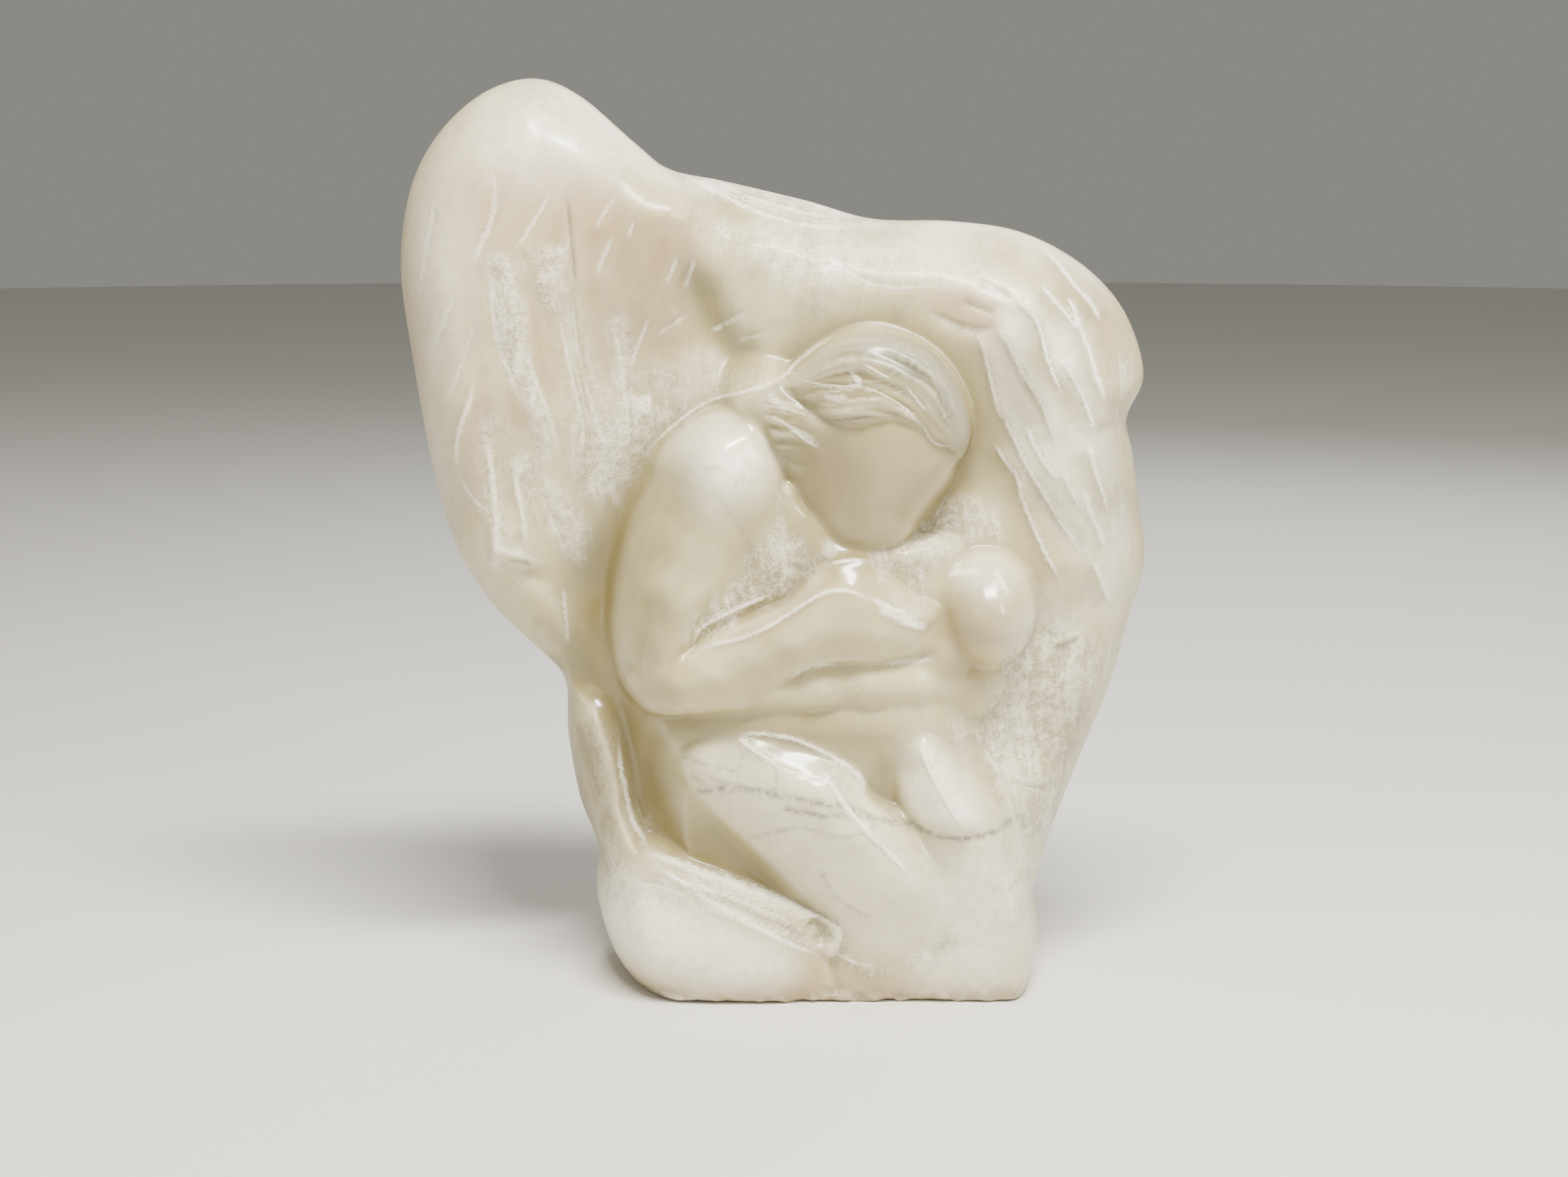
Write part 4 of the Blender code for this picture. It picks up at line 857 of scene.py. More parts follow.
        (0.6, 5, [(118, 262), (128, 260), (140, 232), (138, 214), (128, 226), (120, 246)]),
        (0.6, 6, [(136, 204), (146, 204), (148, 170), (138, 162), (132, 176)]),
        (0.9, 5, [(76, 184), (88, 187), (96, 180), (92, 174), (80, 176)]),
        (0.5, 5, [(-32, 104), (-16, 114), (8, 112), (34, 99), (52, 78), (66, 58), (70, 40), (60, 24),
                  (40, 22), (22, 40), (4, 54), (-14, 72), (-30, 86)]),
        (1.0, 5, [(57, 108), (62, 114), (72, 104), (82, 92), (88, 80), (78, 78), (62, 78), (54, 88)]),
        (1.0, 7, [(-72, 44), (-56, 50), (-34, 46), (-10, 34), (6, 22), (4, 12), (-20, 8), (-50, 12),
                  (-70, 24)]),
        (0.7, 12, [(100, 70), (60, 66), (62, 10), (104, 8)]),
        (0.85, 12, [(-118, 366), (-100, 378), (-78, 366), (-60, 350), (-90, 340), (-116, 346)]),
        (1.0, 8, [(-34, 236), (-18, 242), (-6, 234), (-4, 222), (-18, 214), (-32, 222)]),
        (0.2, 6, [(74, 180), (90, 186), (100, 178), (96, 168), (78, 168)]),
        (0.8, 4, [(94, 290), (104, 290), (104, 272), (98, 268), (94, 278)]),
        (0.9, 4, [(116, 282), (125, 280), (126, 264), (116, 262)]),
        (0.8, 3, [(122, 243), (129, 242), (130, 231), (123, 231)]),
        (0.7, 4, [(82, 301), (92, 300), (92, 292), (84, 293)]),
        (0.6, 6, [(0, 322), (40, 318), (78, 318), (80, 300), (40, 302), (4, 304)]),
        (0.5, 6, [(96, 160), (110, 170), (124, 160), (120, 150), (104, 152)])],
    "veins": [  # width, strength, points
        (1.4, 0.85, [(-30, 89), (-18, 93), (-9, 93), (8, 91), (29, 88), (42, 82), (62, 76)]),
        (1.2, 0.8, [(6, 86), (18, 84.5), (34, 85)]),
        (1.0, 0.5, [(-33, 96), (-27, 92), (-22, 90), (-16, 92)]),
        (0.9, 0.45, [(-12, 108), (-14, 100), (-13, 92)]),
        (0.9, 0.4, [(0, 106), (2, 98), (-1, 90)]),
        (0.9, 0.55, [(-37, 103), (-27, 102), (-15, 100)]),
        (0.9, 0.5, [(-26, 97), (-15, 94), (-3, 93)]),
        (1.4, 0.85, [(56, 78), (66, 75), (78, 74), (90, 75), (102, 78)]),
        (4.0, 0.22, [(-14, 109), (0, 108), (14, 104), (26, 98), (32, 92)]),
        (0.9, 0.45, [(-10, 70), (10, 78), (30, 76), (50, 84)]),
        (0.9, 0.5, [(20, 60), (26, 48), (40, 40)]),
        (0.8, 0.3, [(88, 54), (96, 50), (108, 56)]),
        (1.2, 0.3, [(-20, 214), (-8, 190), (-14, 170)])],
}
for name in ("frost", "amberAndShade", "warm", "paleAndLit"):
    for strength, soft, points in surfacePlan[name]:
        window, inside = patch(points, 1.8 * soft, 1.5 * soft if name == "frost" else 0)
        maps[name][window] = np.maximum(maps[name][window], strength * inside)
for width, strength, points in surfacePlan["veins"]:
    window = windowAround(points, 8)
    across, beyond, _ = nearestOnLine(gridX[window], gridZ[window], curveThrough(points, 5))
    vein = strength * np.exp(-(across**2 + beyond**2) / width**2)
    gridVein[window] = np.maximum(gridVein[window], vein)

# the hair greys towards its outer rim on the right, and between its fine strands
greyRim = ramp(hairPlan["greyRim"] - strand + rough(hx, hz, "greyHair"), 2, 14) * ramp(hx, 20, 50)
greyStrands = hairPlan["grey"] * ramp(-fineHair, 0, 0.8)
gridVein[hairWindow] = np.maximum(gridVein[hairWindow], hairCover * np.maximum(greyRim, greyStrands))

# rough tooling where the stone is frosted, and the slight unevenness of handwork everywhere
height += gridFrost * rough(gridX, gridZ, "frosted")
height += rough(gridX, gridZ, "handwork")
for row in accentPlan:
    stroke(*row)

footPlan = {  # the lower edge is chipped, and rounds in to the underside
    "chipTop": 10, "chipDepth": 1.2, "chipFrost": 0.6,
    "roundIn": 2.5, "roundTop": 3,
}
brokenEdge = 1 - ramp(gridZ, 1, footPlan["chipTop"])
height -= brokenEdge * (footPlan["chipDepth"] + rough(gridX, gridZ, "chipped"))
chipFrost = footPlan["chipFrost"] * brokenEdge * ramp(rough(gridX, gridZ, "chipFrost"), -0.2, 0.5)
gridFrost[:] = np.maximum(gridFrost, chipFrost)
drawBack, drawFrom, drawTo = 2, 50, 72  # what stands out most is drawn back by up to 2 mm
height -= drawBack * ramp(height, drawFrom, drawTo)


def blurred(image, radius):  # mean over a bell of that many mm, along the rows and then along the columns
    reach = int(3 * radius / gridStep)
    weights = np.exp(-(np.arange(-reach, reach + 1) * gridStep / radius) ** 2 / 2)
    weights /= weights.sum()
    for axis in (0, 1):
        padded = np.pad(image, [(reach, reach) if axis == k else (0, 0) for k in (0, 1)], mode="edge")
        count = image.shape[axis]
        image = sum(w * np.take(padded, np.arange(k, k + count), axis) for k, w in enumerate(weights))
    return image


# a point's height against the mean around it: mm the mean is taken over, and mm that count as 1
reliefPlan = {"edge": (2.2, 0.8), "nearHollow": (7, 13), "farHollow": (20, 30)}
above = {name: (height - blurred(height, radius)) / full for name, (radius, full) in reliefPlan.items()}
maps["edge"] = np.clip(above["edge"], -1, 1)
# painted shade: the deeper a hollow, the more of the crease colour it takes
maps["hollow"] = np.clip(-above["nearHollow"] - above["farHollow"], 0, 1)
print("surface maps done")

backHeight = skin(gridX, gridZ, blockPlan["back"], blockPlan["backSoft"]) + rough(gridX, gridZ, "back")
backWiden = 1.6  # the rim rounds over this much wider behind than in front


def quarterRound(gap, radius):  # a quarter circle that rises from 0 at the rim to 1 at radius
    return np.sqrt(np.clip(1 - (1 - np.clip(gap / radius, 0, 1)) ** 2, 0, 1))


def rimOf(x, z):  # distance to the outline of the block, positive inside it, and the radius of its rim there
    across, beyond, place = nearestOnLine(x, z, sideLine)
    return np.hypot(across, beyond) * np.sign(-across), columnAt(sideLine, place, 2)


flankPlan = {"ridge": [(-84, 370), (-66, 357), (-42, 339.0)], "gain": 0.2, "reach": 20, "crispness": 2.6}


def flankGain(x, z):
    # the hood's right side is a cut facet that ends in a ridge: the rounding is reached sooner, by 1 plus a
    # bell of the distance to that ridge
    across, beyond, _ = nearestOnLine(x, z, np.array(flankPlan["ridge"]))
    away = np.hypot(across, beyond) / flankPlan["reach"]
    return 1 + flankPlan["gain"] * np.exp(-away ** flankPlan["crispness"])


# the grid of the carved surface

def edgePoints(line, count):  # points at even steps of length along a line
    reach = np.concatenate([[0], np.cumsum(np.hypot(*np.diff(line[:, :2], axis=0).T))])
    at = np.linspace(0, reach[-1], count)
    return np.stack([np.interp(at, reach, line[:, 0]), np.interp(at, reach, line[:, 1])], 1)


def coons(u, v, left, right, bottom, top):
    # a Coons patch: the sheet ruled from side to side plus the sheet ruled from bottom to top, less the
    # sheet ruled between the four corners; the edges are read between their points
    def read(edge, t):  # straight between two neighbours of an edge, at t of the way along it
        at, numbers = t * (len(edge) - 1), np.arange(len(edge))
        return np.stack([np.interp(at, numbers, edge[:, k]) for k in (0, 1)], -1)
    l, r, b, t = read(left, v), read(right, v), read(bottom, u), read(top, u)
    u, v = u[..., None], v[..., None]
    corners = ((1 - u) * (1 - v) * left[0] + u * (1 - v) * right[0]
               + (1 - u) * v * left[-1] + u * v * right[-1])
    return (1 - u) * l + u * r + (1 - v) * b + v * t - corners


def cutAtFloor(line):  # the part of a side line above the underside, starting exactly on it
    above = np.argmax(line[:, 1] > 0)
    a, b = line[above - 1], line[above]
    foot = a + (b - a) * (0 - a[1]) / (b[1] - a[1])
    return np.vstack([foot, line[above:]])


fineSteps, edgeCount = 24, 600  # steps between two points of the outline, and points on each edge of the grid
wholeLine = curveThrough(blockPlan["outline"], fineSteps)
topStart, topEnd = blockPlan["topLeft"] * fineSteps, blockPlan["topRight"] * fineSteps
leftEdge = edgePoints(cutAtFloor(wholeLine[:topStart + 1]), edgeCount)
topEdge = edgePoints(wholeLine[topStart:topEnd + 1], edgeCount)
rightEdge = edgePoints(cutAtFloor(wholeLine[topEnd:][::-1]), edgeCount)
bottomEdge = edgePoints(np.array([leftEdge[0], rightEdge[0]]), edgeCount)


def spread(fine, count, weight):  # new places along each row so that the steps in 3D come out nearly even
    steps = np.sqrt(np.diff(fine[..., 0], axis=1) ** 2 + np.diff(fine[..., 1], axis=1) ** 2
                    + (weight * np.diff(fine[..., 2], axis=1)) ** 2) * (fine[:, 1:, 3] + fine[:, :-1, 3]) / 2
    for _ in range(40):  # neighbouring rows agree
        steps = np.vstack([steps[:1], (steps[:-2] + 2 * steps[1:-1] + steps[2:]) / 4, steps[-1:]])
    steps += steps.mean(1, keepdims=True) * 0.25  # and none gets too small
    reach = np.concatenate([np.zeros((len(steps), 1)), np.cumsum(steps, 1)], 1)
    places = np.linspace(0, 1, fine.shape[1])
    even = np.linspace(0, 1, count)
    return np.array([np.interp(even * row[-1], row, places) for row in reach])


focusPlan = {  # the mesh is finer on the figures, and where the surface is steep
    "centre": (25, 165), "reach": (72, 118), "gain": 0.8, "slope": 0.8,
    "fineCount": 1200,  # places tried along each line
}


def surfaceGrid(columns, rows, image, weight):
    # x, z on a grid over the block whose lines crowd where the surface is steep and on the figures
    def study(flat):  # x, z, height, and how closely the place is looked at
        (cx, cz), (reachX, reachZ) = focusPlan["centre"], focusPlan["reach"]
        far = ((flat[..., 0] - cx) / reachX) ** 4 + ((flat[..., 1] - cz) / reachZ) ** 4
        depth = sampleGrid(image, flat[..., 0], flat[..., 1])
        return np.dstack([flat, depth, 1 + focusPlan["gain"] * np.exp(-far)])
    fine = np.linspace(0, 1, focusPlan["fineCount"])
    fineU, fineV = np.meshgrid(fine, np.linspace(0, 1, rows + 1))
    flat = coons(fineU, fineV, leftEdge, rightEdge, bottomEdge, topEdge)
    u = spread(study(flat), columns + 1, weight)
    uTall = np.array([np.interp(fine, np.linspace(0, 1, rows + 1), u[:, i]) for i in range(columns + 1)])
    vTall = np.broadcast_to(fine, uTall.shape)
    flat = coons(uTall, vTall, leftEdge, rightEdge, bottomEdge, topEdge)
    v = spread(study(flat), rows + 1, weight)
    uAt = np.array([np.interp(v[i], fine, uTall[i]) for i in range(columns + 1)])
    return coons(uAt.T, v.T, leftEdge, rightEdge, bottomEdge, topEdge)


frontImage = height * np.minimum(1, quarterRound(*rimOf(gridX, gridZ)) * flankGain(gridX, gridZ))
frontFlat = surfaceGrid(columnsFront, rowsFront, frontImage, focusPlan["slope"])
print("grid", frontFlat.shape)

# back grid: half as many columns and rows, on every second point of the shared edge
edgeL, edgeR = frontFlat[::2, 0], frontFlat[::2, -1]
edgeT, edgeB = frontFlat[-1, ::2], frontFlat[0, ::2]
n, m = columnsFront // 2, rowsFront // 2
evenU, evenV = np.linspace(0, 1, n + 1), np.linspace(0, 1, m + 1)
easeU = evenU - 0.1 * np.sin(2 * math.pi * evenU)  # its lines crowd towards the sides and the top
easeV = evenV + 0.06 * (np.sin(math.pi * evenV) * evenV)
uu, vv = easeU[None, :, None], easeV[:, None, None]
corners = ((1 - uu) * (1 - vv) * edgeL[0] + uu * (1 - vv) * edgeR[0]
           + (1 - uu) * vv * edgeL[-1] + uu * vv * edgeR[-1])
acrossBack, upBack = (1 - uu) * edgeL[:, None] + uu * edgeR[:, None], (1 - vv) * edgeB[None] + vv * edgeT[None]
backFlat = acrossBack + upBack - corners


def thickness(flat, image, widen):  # the height map under the rounded rim, which is exact on the edge
    x, z = flat[..., 0], flat[..., 1]
    gap, radius = rimOf(x, z)
    gain = flankGain(x, z) if widen == 1 else 1
    return sampleGrid(image, x, z) * np.minimum(1, quarterRound(np.abs(gap), radius * widen) * gain)


def easeFoot(depth, z):  # the lowest edge rounds in by what a quarter ellipse lacks, less where it is thin
    ease = footPlan["roundIn"] * (1 - quarterRound(z, footPlan["roundTop"]))
    return np.maximum(depth - ease * ramp(depth, 0, 10), 0)


frontY, backY = thickness(frontFlat, height, 1), thickness(backFlat, backHeight, backWiden)
for depth in (frontY, backY):
    depth[:, 0] = depth[:, -1] = depth[-1] = 0
frontY, backY = easeFoot(frontY, frontFlat[..., 1]), easeFoot(backY, backFlat[..., 1])
frontPoints = np.dstack([frontFlat[..., 0], -frontY, frontFlat[..., 1]])
backPoints = np.dstack([backFlat[..., 0], backY, backFlat[..., 1]])

# numbers of the vertices: the front's grid first, then the inside of the back's
frontIndex = np.arange(frontPoints.shape[0] * frontPoints.shape[1]).reshape(frontPoints.shape[:2])
backIndex = np.full(backPoints.shape[:2], -1)
backIndex[:, 0], backIndex[:, -1] = frontIndex[::2, 0], frontIndex[::2, -1]
backIndex[-1] = frontIndex[-1, ::2]
ownBack = backIndex < 0
backIndex[ownBack] = frontIndex.size + np.arange(ownBack.sum())
points = np.vstack([frontPoints.reshape(-1, 3), backPoints[ownBack]])

a, b, c, d = frontIndex[:-1, :-1], frontIndex[:-1, 1:], frontIndex[1:, 1:], frontIndex[1:, :-1]
faces = np.stack([a, b, c, d], -1).reshape(-1, 4).tolist()
a, b, c, d = backIndex[:-1, :-1], backIndex[:-1, 1:], backIndex[1:, 1:], backIndex[1:, :-1]
rimCell = np.zeros(a.shape, bool)  # these have one more corner for each side on the rim
rimCell[:, 0] = rimCell[:, -1] = rimCell[-1] = True
faces += np.stack([b, a, d, c], -1)[~rimCell].tolist()
leftMiddle, rightMiddle, topMiddle = frontIndex[1::2, 0], frontIndex[1::2, -1], frontIndex[-1, 1::2]
for r, s in np.argwhere(rimCell):
    ring = [b[r, s], a[r, s]]
    if s == 0:
        ring.append(leftMiddle[r])
    ring.append(d[r, s])
    if r == m - 1:
        ring.append(topMiddle[s])
    ring.append(c[r, s])
    if s == n - 1:
        ring.append(rightMiddle[r])
    faces.append([int(i) for i in ring])
underside = [int(i) for i in list(frontIndex[0, ::-1]) + list(backIndex[0, 1:-1])]
faces.append(underside)

# the carving is centred on the solid's box, and stands on the same floor
shift = (lowCorner + highCorner) / 2 / mm - (points.min(0) + points.max(0)) / 2
shift[2] = 0
print("shift", shift, "size", points.max(0) - points.min(0))
mesh = bpy.data.meshes.new("statueMesh")
mesh.from_pydata(((points + shift) * mm).tolist(), [], faces)
mesh.validate()
mesh.polygons.foreach_set("use_smooth", [True] * len(mesh.polygons))
mesh.polygons[len(mesh.polygons) - 1].use_smooth = False  # the underside
statue = bpy.data.objects.new("carved_alabaster", mesh)
bpy.context.scene.collection.objects.link(statue)

# the maps travel to the material as numbers on the vertices; the back has its own plain values
flowPlan = [  # x, z, mm across the tool strokes, which run along lines of one value
    (-137, 336, -141), (-144, 293, -141), (-111, 345, -112), (-118, 307, -114), (-87, 334, -94),
    (-103, 312, -96), (-82, 332, -80), (-80, 274, -80), (-62, 333, -68), (-71, 322, -69), (-55, 322, -57),
    (-60, 313, -58), (-38, 308, -40), (-43, 298, -41), (-31, 307, -33), (-36, 295, -35), (-104, 307, -99),
    (-93, 252, -98), (-129, 295, -134), (-139, 268, -134), (-122, 280, -126), (-130, 252, -126),
    (-121, 258, -128), (-131, 218, -128), (-114, 243, -117), (-116, 181, -117), (-107, 224, -104),
    (-98, 182, -106), (-100, 252, -95), (-87, 198, -94), (-69, 271, -66), (-62, 252, -64), (-51, 284, -54),
    (-60, 260, -56), (-78, 120, -86), (-60, 60, -60), (-88, 110, -92), (0, 300, 0), (40, 305, 34),
    (0, 340, -10), (60, 300, 66), (76, 279, 82), (86, 271, 88), (92, 246, 92), (105, 219, 96),
    (118, 180, 98), (90, 281, 94), (104, 258, 106), (117, 232, 108), (93, 294, 104), (109, 276, 112),
    (122, 240, 116), (113, 305, 118), (124, 280, 124), (136, 250, 130), (120, 306, 126), (135, 284, 134),
    (139, 274, 140), (140, 240, 141), (147, 266, 147), (108, 218, 104), (125, 192, 110), (141, 164, 118),
    (127, 211, 120), (138, 188, 126), (142, 205, 134), (142, 183, 132), (150, 200, 142), (100, 120, 84),
    (130, 140, 112), (110, 70, 92), (-54, 60, -60), (-20, 52, -60), (6, 42, -60), (28, 33, -60),
    (-52, 52, -66), (-34, 46, -67), (-9, 34, -69), (12, 24, -70), (24, 19, -70), (-70, 30, -82),
    (-30, 18, -84), (10, 6, -84), (60, 60, 0), (60, 20, 20)]
frontSpots, backSpots = frontFlat.reshape(-1, 2), backFlat[ownBack]
backTones = {"frost": 0.15, "warm": 0.3, "stone": 0.45}
for name, image in maps.items():
    behind = np.full(len(backSpots), backTones.get(name, 0.0))
    values = np.concatenate([sampleGrid(image, frontSpots[:, 0], frontSpots[:, 1]), behind])
    mesh.attributes.new(name, "FLOAT", "POINT").data.foreach_set("value", values)
spots = np.vstack([frontSpots, backSpots])
flow = skin(spots[:, 0], spots[:, 1], flowPlan, 6)
mesh.attributes.new("flow", "FLOAT", "POINT").data.foreach_set("value", flow)
triangles = sum(len(p.vertices) - 2 for p in mesh.polygons)
print("triangles", triangles)

# material

def linear(code):
    # sRGB hex to linear light: a channel is divided by 12.92 if dark, and otherwise 0.055 is added, the sum
    # divided by 1.055 and raised to the power 2.4
    values = np.array([int(code[i:i + 2], 16) / 255 for i in (1, 3, 5)])
    values = np.where(values <= 0.04045, values / 12.92, ((values + 0.055) / 1.055) ** 2.4)
    return (*values.tolist(), 1.0)


def addNode(tree, kind, feeds, **settings):
    # one node with its settings; feeds gives, for each of its sockets, a value or another node's output
    node = tree.nodes.new("ShaderNode" + kind)
    for key, value in settings.items():
        setattr(node, key, value)
    for socket, source in feeds.items():
        if isinstance(source, bpy.types.NodeSocket):
            tree.links.new(source, node.inputs[socket])
        else:
            node.inputs[socket].default_value = source
    return node


alabasterPlan = {
    # crease is the colour of the painted shade in hollows
    "cream": "#cbc194", "pearl": "#b9ad84", "tan": "#b19774", "amberAndShade": "#7c7045", "frost": "#fbf6e5",
    "paleAndLit": "#f3efdd", "vein": "#6c6c5c", "crease": "#847850", "shade": "#9a927a", "milk": "#e0d9c6",
    "polish": 0.16, "frosted": 0.6,  # roughness of the two finishes
    # scales of a streak across the tool strokes (from mm), into the stone and along the strokes
    "streakScales": (0.001, 0.3, 0.11),
    # size in mm, detail, roughness, and the two values that become 0 and 1 (None: it stays as it is);
    # the crystals of real alabaster are finer still, and are drawn as coarse as they need to be to show
    "patterns": {
        "clouds": (34, 5, 0.6, 0.36, 0.64),
        "crystals": (0.9, 3, 0.7, 0.38, 0.66),
        "bruises": (4.5, 4, 0.65, 0.36, 0.62),
        "fibres": (2.4, 3, 0.6, 0.4, 0.7),
        "broadFibres": (8, 3, 0.5, 0.36, 0.64),
        "grit": (2.4, 3, 0.65, 0.34, 0.68),
        "ragged": (1.9, 3, 0.7, None, None),
        "lineBreaks": (8, 2, 0.5, 0.22, 0.46),
        "veinBreaks": (3, 4, 0.5, 0.3, 0.6),
        "blotches": (11, 4, 0.6, 0.5, 0.72),
        "wear": (7, 3, 0.5, None, None),
        "swell": (9, 2, 0.5, None, None),
    },
    "layers": [  # the paints laid over the cream one after another, and how much of each
        ("pearl", "clouds"), ("milk", "streaks"), ("shade", "mottle"), ("tan", "warmth"),
        ("paleAndLit", "paleAndLitAmount"), ("crease", "hollowShadeAmount"), ("amberAndShade", "amberAndShade"), ("shade", "between"),
        ("frost", "frosting"), ("vein", "veined"), ("vein", "darkLineAndGrooveShade"), ("frost", "edgeGlint"),
        ("frost", "bright")],
    "shader": {
        "IOR": 1.52, "Coat Weight": 0.2, "Coat Roughness": 0.1, "Subsurface Weight": 0.45,
        "Subsurface Radius": (1.0, 0.8, 0.45), "Subsurface Scale": 0.006},
}
millimetre = 1000.0  # Object coordinates are in metres, so a pattern n mm across has a scale of 1000 / n


def makeAlabaster():
    # Alabaster is a soft, fine-grained gypsum: light goes a few millimetres into it, so edges glow and
    # shadows stay soft. Here it is polished by hand on the figures, which gives them small wet-looking
    # highlights, and left white and crystalline where a rasp and a chisel bruised it.
    material = bpy.data.materials.new("alabaster carved and polished")
    material.use_nodes = True
    tree = material.node_tree
    shader = tree.nodes["Principled BSDF"]
    place = addNode(tree, "TexCoord", {}).outputs["Object"]
    level = {name: addNode(tree, "Attribute", {}, attribute_name=name).outputs["Fac"]
             for name in (*maps, "flow")}

    # the fibres are drawn out along the tool strokes
    apart = addNode(tree, "SeparateXYZ", {0: place})
    ways = (level["flow"], apart.outputs["Y"], apart.outputs["Z"])
    scaled = [addNode(tree, "Math", {0: way, 1: scale}, operation="MULTIPLY").outputs[0]
              for way, scale in zip(ways, alabasterPlan["streakScales"])]
    along = addNode(tree, "CombineXYZ", dict(enumerate(scaled))).outputs[0]
    for name, (size, detail, roughness, low, high) in alabasterPlan["patterns"].items():
        noise = addNode(tree, "TexNoise", {
            "Vector": along if name in ("fibres", "broadFibres") else place, "Scale": millimetre / size,
            "Detail": detail, "Roughness": roughness})
        level[name] = noise.outputs["Fac"]
        if high:
            eased = addNode(tree, "MapRange", {"Value": level[name], "From Min": low, "From Max": high},
                            interpolation_type="SMOOTHSTEP")
            level[name] = eased.outputs["Result"]

    workings = {
        "times": ("Math", {"operation": "MULTIPLY"}),
        "timesClamped": ("Math", {"operation": "MULTIPLY", "use_clamp": True}),
        "timesPlus": ("Math", {"operation": "MULTIPLY_ADD"}),
        "plus": ("Math", {"operation": "ADD"}),
        "larger": ("Math", {"operation": "MAXIMUM"}),
        "unsigned": ("Math", {"operation": "ABSOLUTE"}),
        "ease": ("MapRange", {"interpolation_type": "SMOOTHSTEP"}),
        "rescale": ("MapRange", {}),
    }
    recipe = [  # result, how it is worked out, and from what: earlier results, maps, patterns or numbers
        # frost comes and goes in streaks along the tool strokes, broken up by its crystals
        ("pattern", "timesPlus", "broadFibres", 0.4, -0.55),
        ("pattern", "timesPlus", "fibres", 0.3, "pattern"),
        ("pattern", "timesPlus", "crystals", 0.45, "pattern"),
        ("pattern", "timesPlus", "bruises", 0.4, "pattern"),
        ("pattern", "timesPlus", "grit", 0.45, "pattern"),
        ("frosting", "times", "frost", "pattern"),
        ("frosting", "timesClamped", "frosting", 0.8),
        # fine lines, ragged at their sides and worn away in places
        ("away", "unsigned", "line"),
        ("waver", "timesPlus", "ragged", 1.9, -0.95),
        ("away", "plus", "away", "waver"),
        ("core", "ease", "away", 0.85, 0.25),
        # bright lines: frost, and on some ridges and tops painted highlights
        ("bright", "larger", "mark", 0.0),
        ("bright", "times", "core", "bright"),
        ("sparkle", "timesPlus", "crystals", 0.4, 0.6),
        ("bright", "timesClamped", "bright", "sparkle"),
        ("bright", "times", "bright", "lineBreaks"),
        # dark lines, in the vein colour: mostly painted shade in grooves and under edges
        ("darkLineAndGrooveShade", "times", "mark", -1.0),
        ("darkLineAndGrooveShade", "larger", "darkLineAndGrooveShade", 0.0),
        ("darkLineAndGrooveShade", "times", "core", "darkLineAndGrooveShade"),
        ("darkLineAndGrooveShade", "times", "darkLineAndGrooveShade", 0.8),
        # how much of each paint
        ("streaks", "times", "broadFibres", 0.5),
        ("streaks", "timesPlus", "fibres", 0.5, "streaks"),
        ("streaks", "times", "stone", "streaks"),
        ("streaks", "times", "streaks", 0.35),
        ("mottle", "times", "stone", "blotches"),
        ("mottle", "times", "mottle", 0.45),
        ("warmth", "times", "broadFibres", "stone"),
        ("warmth", "timesPlus", "warmth", 0.5, 0.6),
        ("warmth", "timesClamped", "warm", "warmth"),
        ("paleAndLitAmount", "timesPlus", "bruises", 0.3, 0.8),
        ("paleAndLitAmount", "timesClamped", "paleAndLit", "paleAndLitAmount"),
        # painted shade in the hollows
        ("hollowShadeAmount", "times", "hollow", 0.85),
        ("between", "timesPlus", "pattern", -1.0, 1.0),
        ("between", "timesClamped", "frost", "between"),
        ("between", "times", "between", 0.5),
        ("veined", "times", "vein", "veinBreaks"),
        ("edgeGlint", "larger", "edge", 0.0),
        ("edgeGlint", "times", "edgeGlint", 0.15),
        # roughness: polished, except where the stone is frosted or only dressed
        ("dull", "larger", "frosting", "bright"),
        ("dressed", "times", "stone", 0.35),
        ("dull", "larger", "dull", "dressed"),
        ("finish", "rescale", "dull", 0.0, 1.0, alabasterPlan["polish"], alabasterPlan["frosted"]),
        ("finish", "timesPlus", "wear", 0.1, "finish"),
        # relief too fine for the mesh
        ("relief", "plus", "crystals", "grit"),
        ("relief", "timesPlus", "fibres", 0.5, "relief"),
        ("relief", "times", "relief", "frost"),
        ("relief", "timesPlus", "swell", 0.25, "relief"),
        ("relief", "timesPlus", "bright", 0.8, "relief"),
    ]
    for result, working, *terms in recipe:
        kind, settings = workings[working]
        feeds = {socket: level.get(term, term) for socket, term in enumerate(terms)}
        level[result] = addNode(tree, kind, feeds, **settings).outputs[0]

    colour = linear(alabasterPlan["cream"])
    for paint, amount in alabasterPlan["layers"]:
        feeds = {6: colour, 7: linear(alabasterPlan[paint]), 0: level[amount]}
        colour = addNode(tree, "Mix", feeds, data_type="RGBA").outputs[2]
    bump = addNode(tree, "Bump", {"Height": level["relief"], "Strength": 0.5, "Distance": 0.0005})
    tree.links.new(colour, shader.inputs["Base Color"])
    tree.links.new(level["finish"], shader.inputs["Roughness"])
    tree.links.new(bump.outputs["Normal"], shader.inputs["Normal"])
    for socket, value in alabasterPlan["shader"].items():
        shader.inputs[socket].default_value = value
    return material


mesh.materials.append(makeAlabaster())
print("material done")

# floor, light and camera

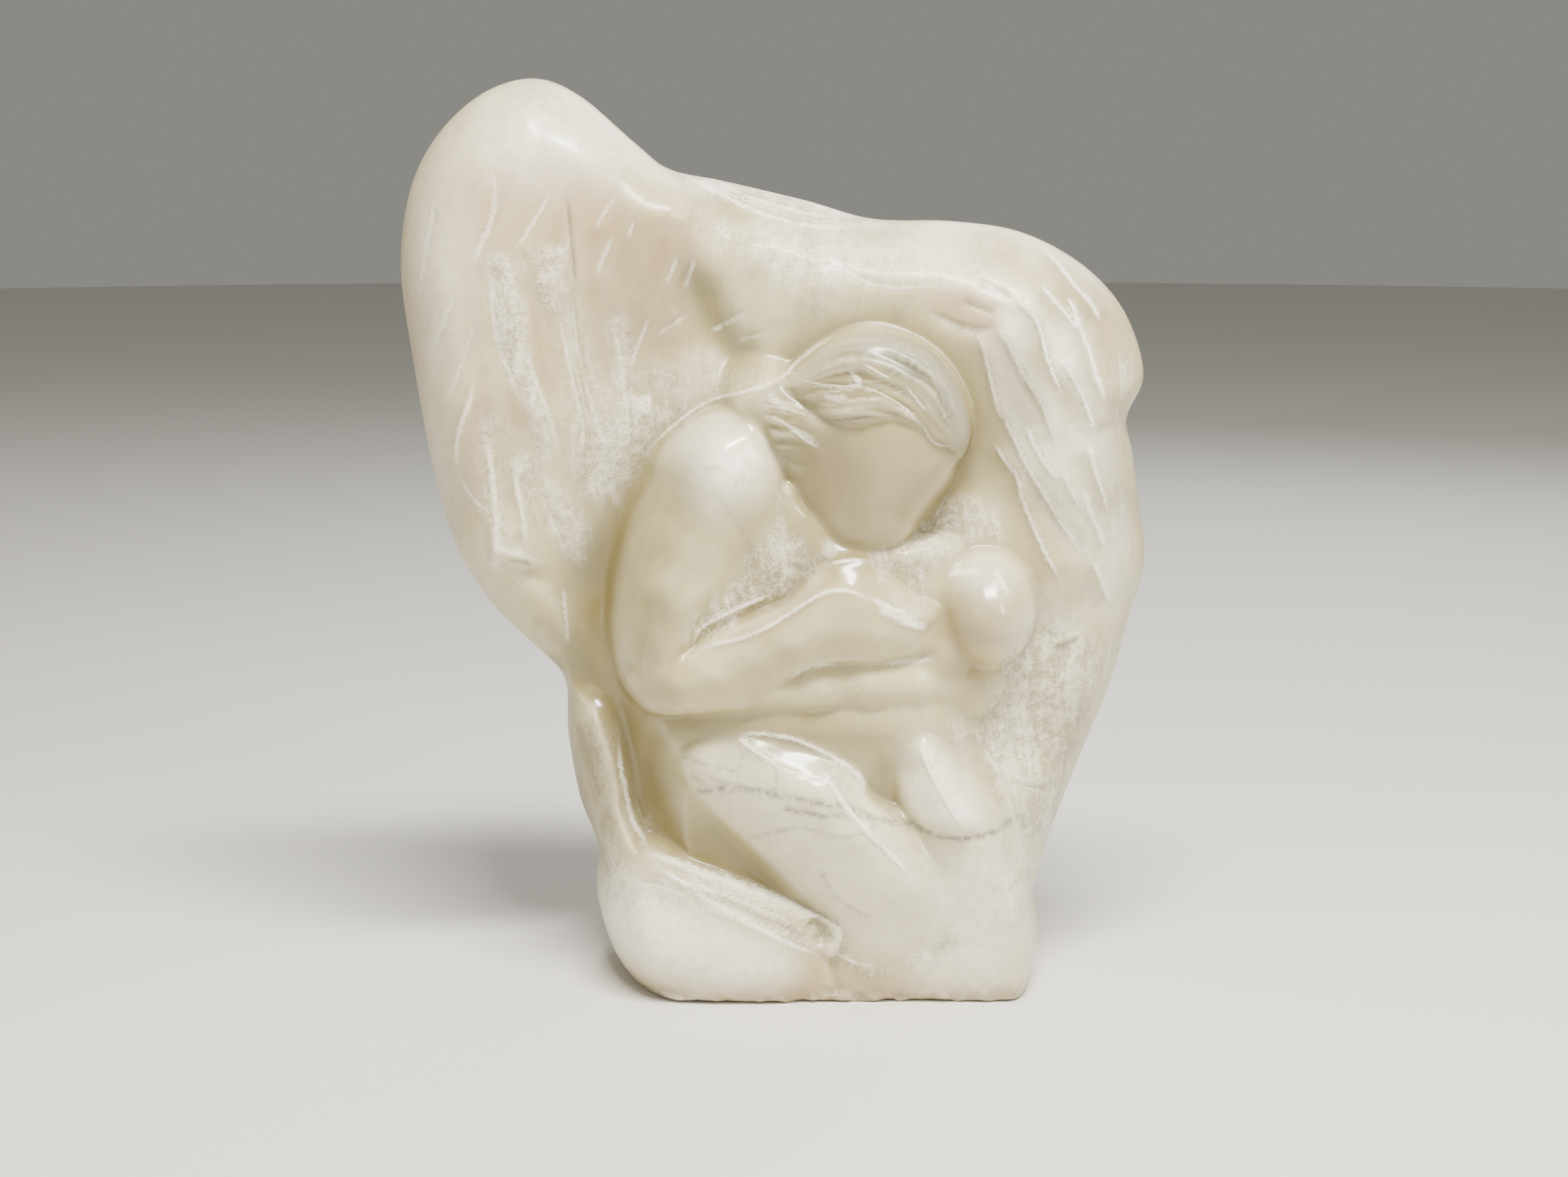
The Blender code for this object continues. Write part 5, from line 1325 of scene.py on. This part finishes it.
studio = {
    "target": (4.85, 0, 165.3), "elevation": 10, "distance": 1050, "lens": 56.1,  # mm and degrees
    "floorColour": "#d9d7d2", "floorRadius": 6, "floorCorners": 96,  # metres
    "skyColour": "#d6d4cb", "skyStrength": 0.4,
    "aim": (0, 0, 0.2),  # the point all lamps are turned to
    "lamps": [  # name, place, width and height, watts, colour
        ("key", (0.18, -0.62, 1.4), (0.8, 0.22), 62, "#fffaf0"),
        ("side", (1.1, -0.9, 0.75), (0.3, 0.6), 12, "#fffdf6"),
        ("fill", (-1.3, -1.2, 0.7), (1.2, 1.2), 9, "#fbf9f0"),
        ("back", (0.6, 1.3, 1.2), (1.0, 1.0), 14, "#ffffff")],
}
scene = bpy.context.scene
floorMesh = bpy.data.meshes.new("floorMesh")
corners = studio["floorCorners"]
ring = np.linspace(0, 2 * math.pi, corners + 1)[:-1]
floorSpots = studio["floorRadius"] * np.stack([np.cos(ring), np.sin(ring), 0 * ring], 1)
floorMesh.from_pydata(floorSpots.tolist(), [], [list(range(corners))])
floorPlane = bpy.data.objects.new("floor", floorMesh)
scene.collection.objects.link(floorPlane)
# painted board: matt, so it takes soft shadows and mirrors nothing
floorFinish = bpy.data.materials.new("matt studio floor")
floorFinish.use_nodes = True
floorShader = floorFinish.node_tree.nodes["Principled BSDF"]
floorShader.inputs["Base Color"].default_value = linear(studio["floorColour"])
floorShader.inputs["Roughness"].default_value = 0.85
floorMesh.materials.append(floorFinish)

world = bpy.data.worlds.new("studio")
world.use_nodes = True
sky = world.node_tree.nodes["Background"]
sky.inputs["Color"].default_value = linear(studio["skyColour"])
sky.inputs["Strength"].default_value = studio["skyStrength"]
scene.world = world

for name, place, size, power, colour in studio["lamps"]:  # soft boxes
    lamp = bpy.data.lights.new(name, "AREA")
    lamp.shape, lamp.size, lamp.size_y = "RECTANGLE", size[0], size[1]
    lamp.energy, lamp.color = power, linear(colour)[:3]
    holder = bpy.data.objects.new(name, lamp)
    scene.collection.objects.link(holder)
    back = np.array(place, float) - np.array(studio["aim"], float)
    back /= np.linalg.norm(back)
    holder.location = place
    holder.rotation_euler = (math.acos(back[2]), 0, math.atan2(back[0], -back[1]))

cameraData = bpy.data.cameras.new("camera")
cameraData.lens, cameraData.sensor_width, cameraData.clip_end = studio["lens"], 36, 100
camera = bpy.data.objects.new("camera", cameraData)
scene.collection.objects.link(camera)
tilt = math.radians(studio["elevation"])
target = (np.array(studio["target"]) + shift) * mm
camera.location = target + studio["distance"] * mm * np.array([0, -math.cos(tilt), math.sin(tilt)])
camera.rotation_euler = (math.pi / 2 - tilt, 0, 0)
bpy.context.scene.camera = camera

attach(statue, "root")
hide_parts("madonna_and_child")
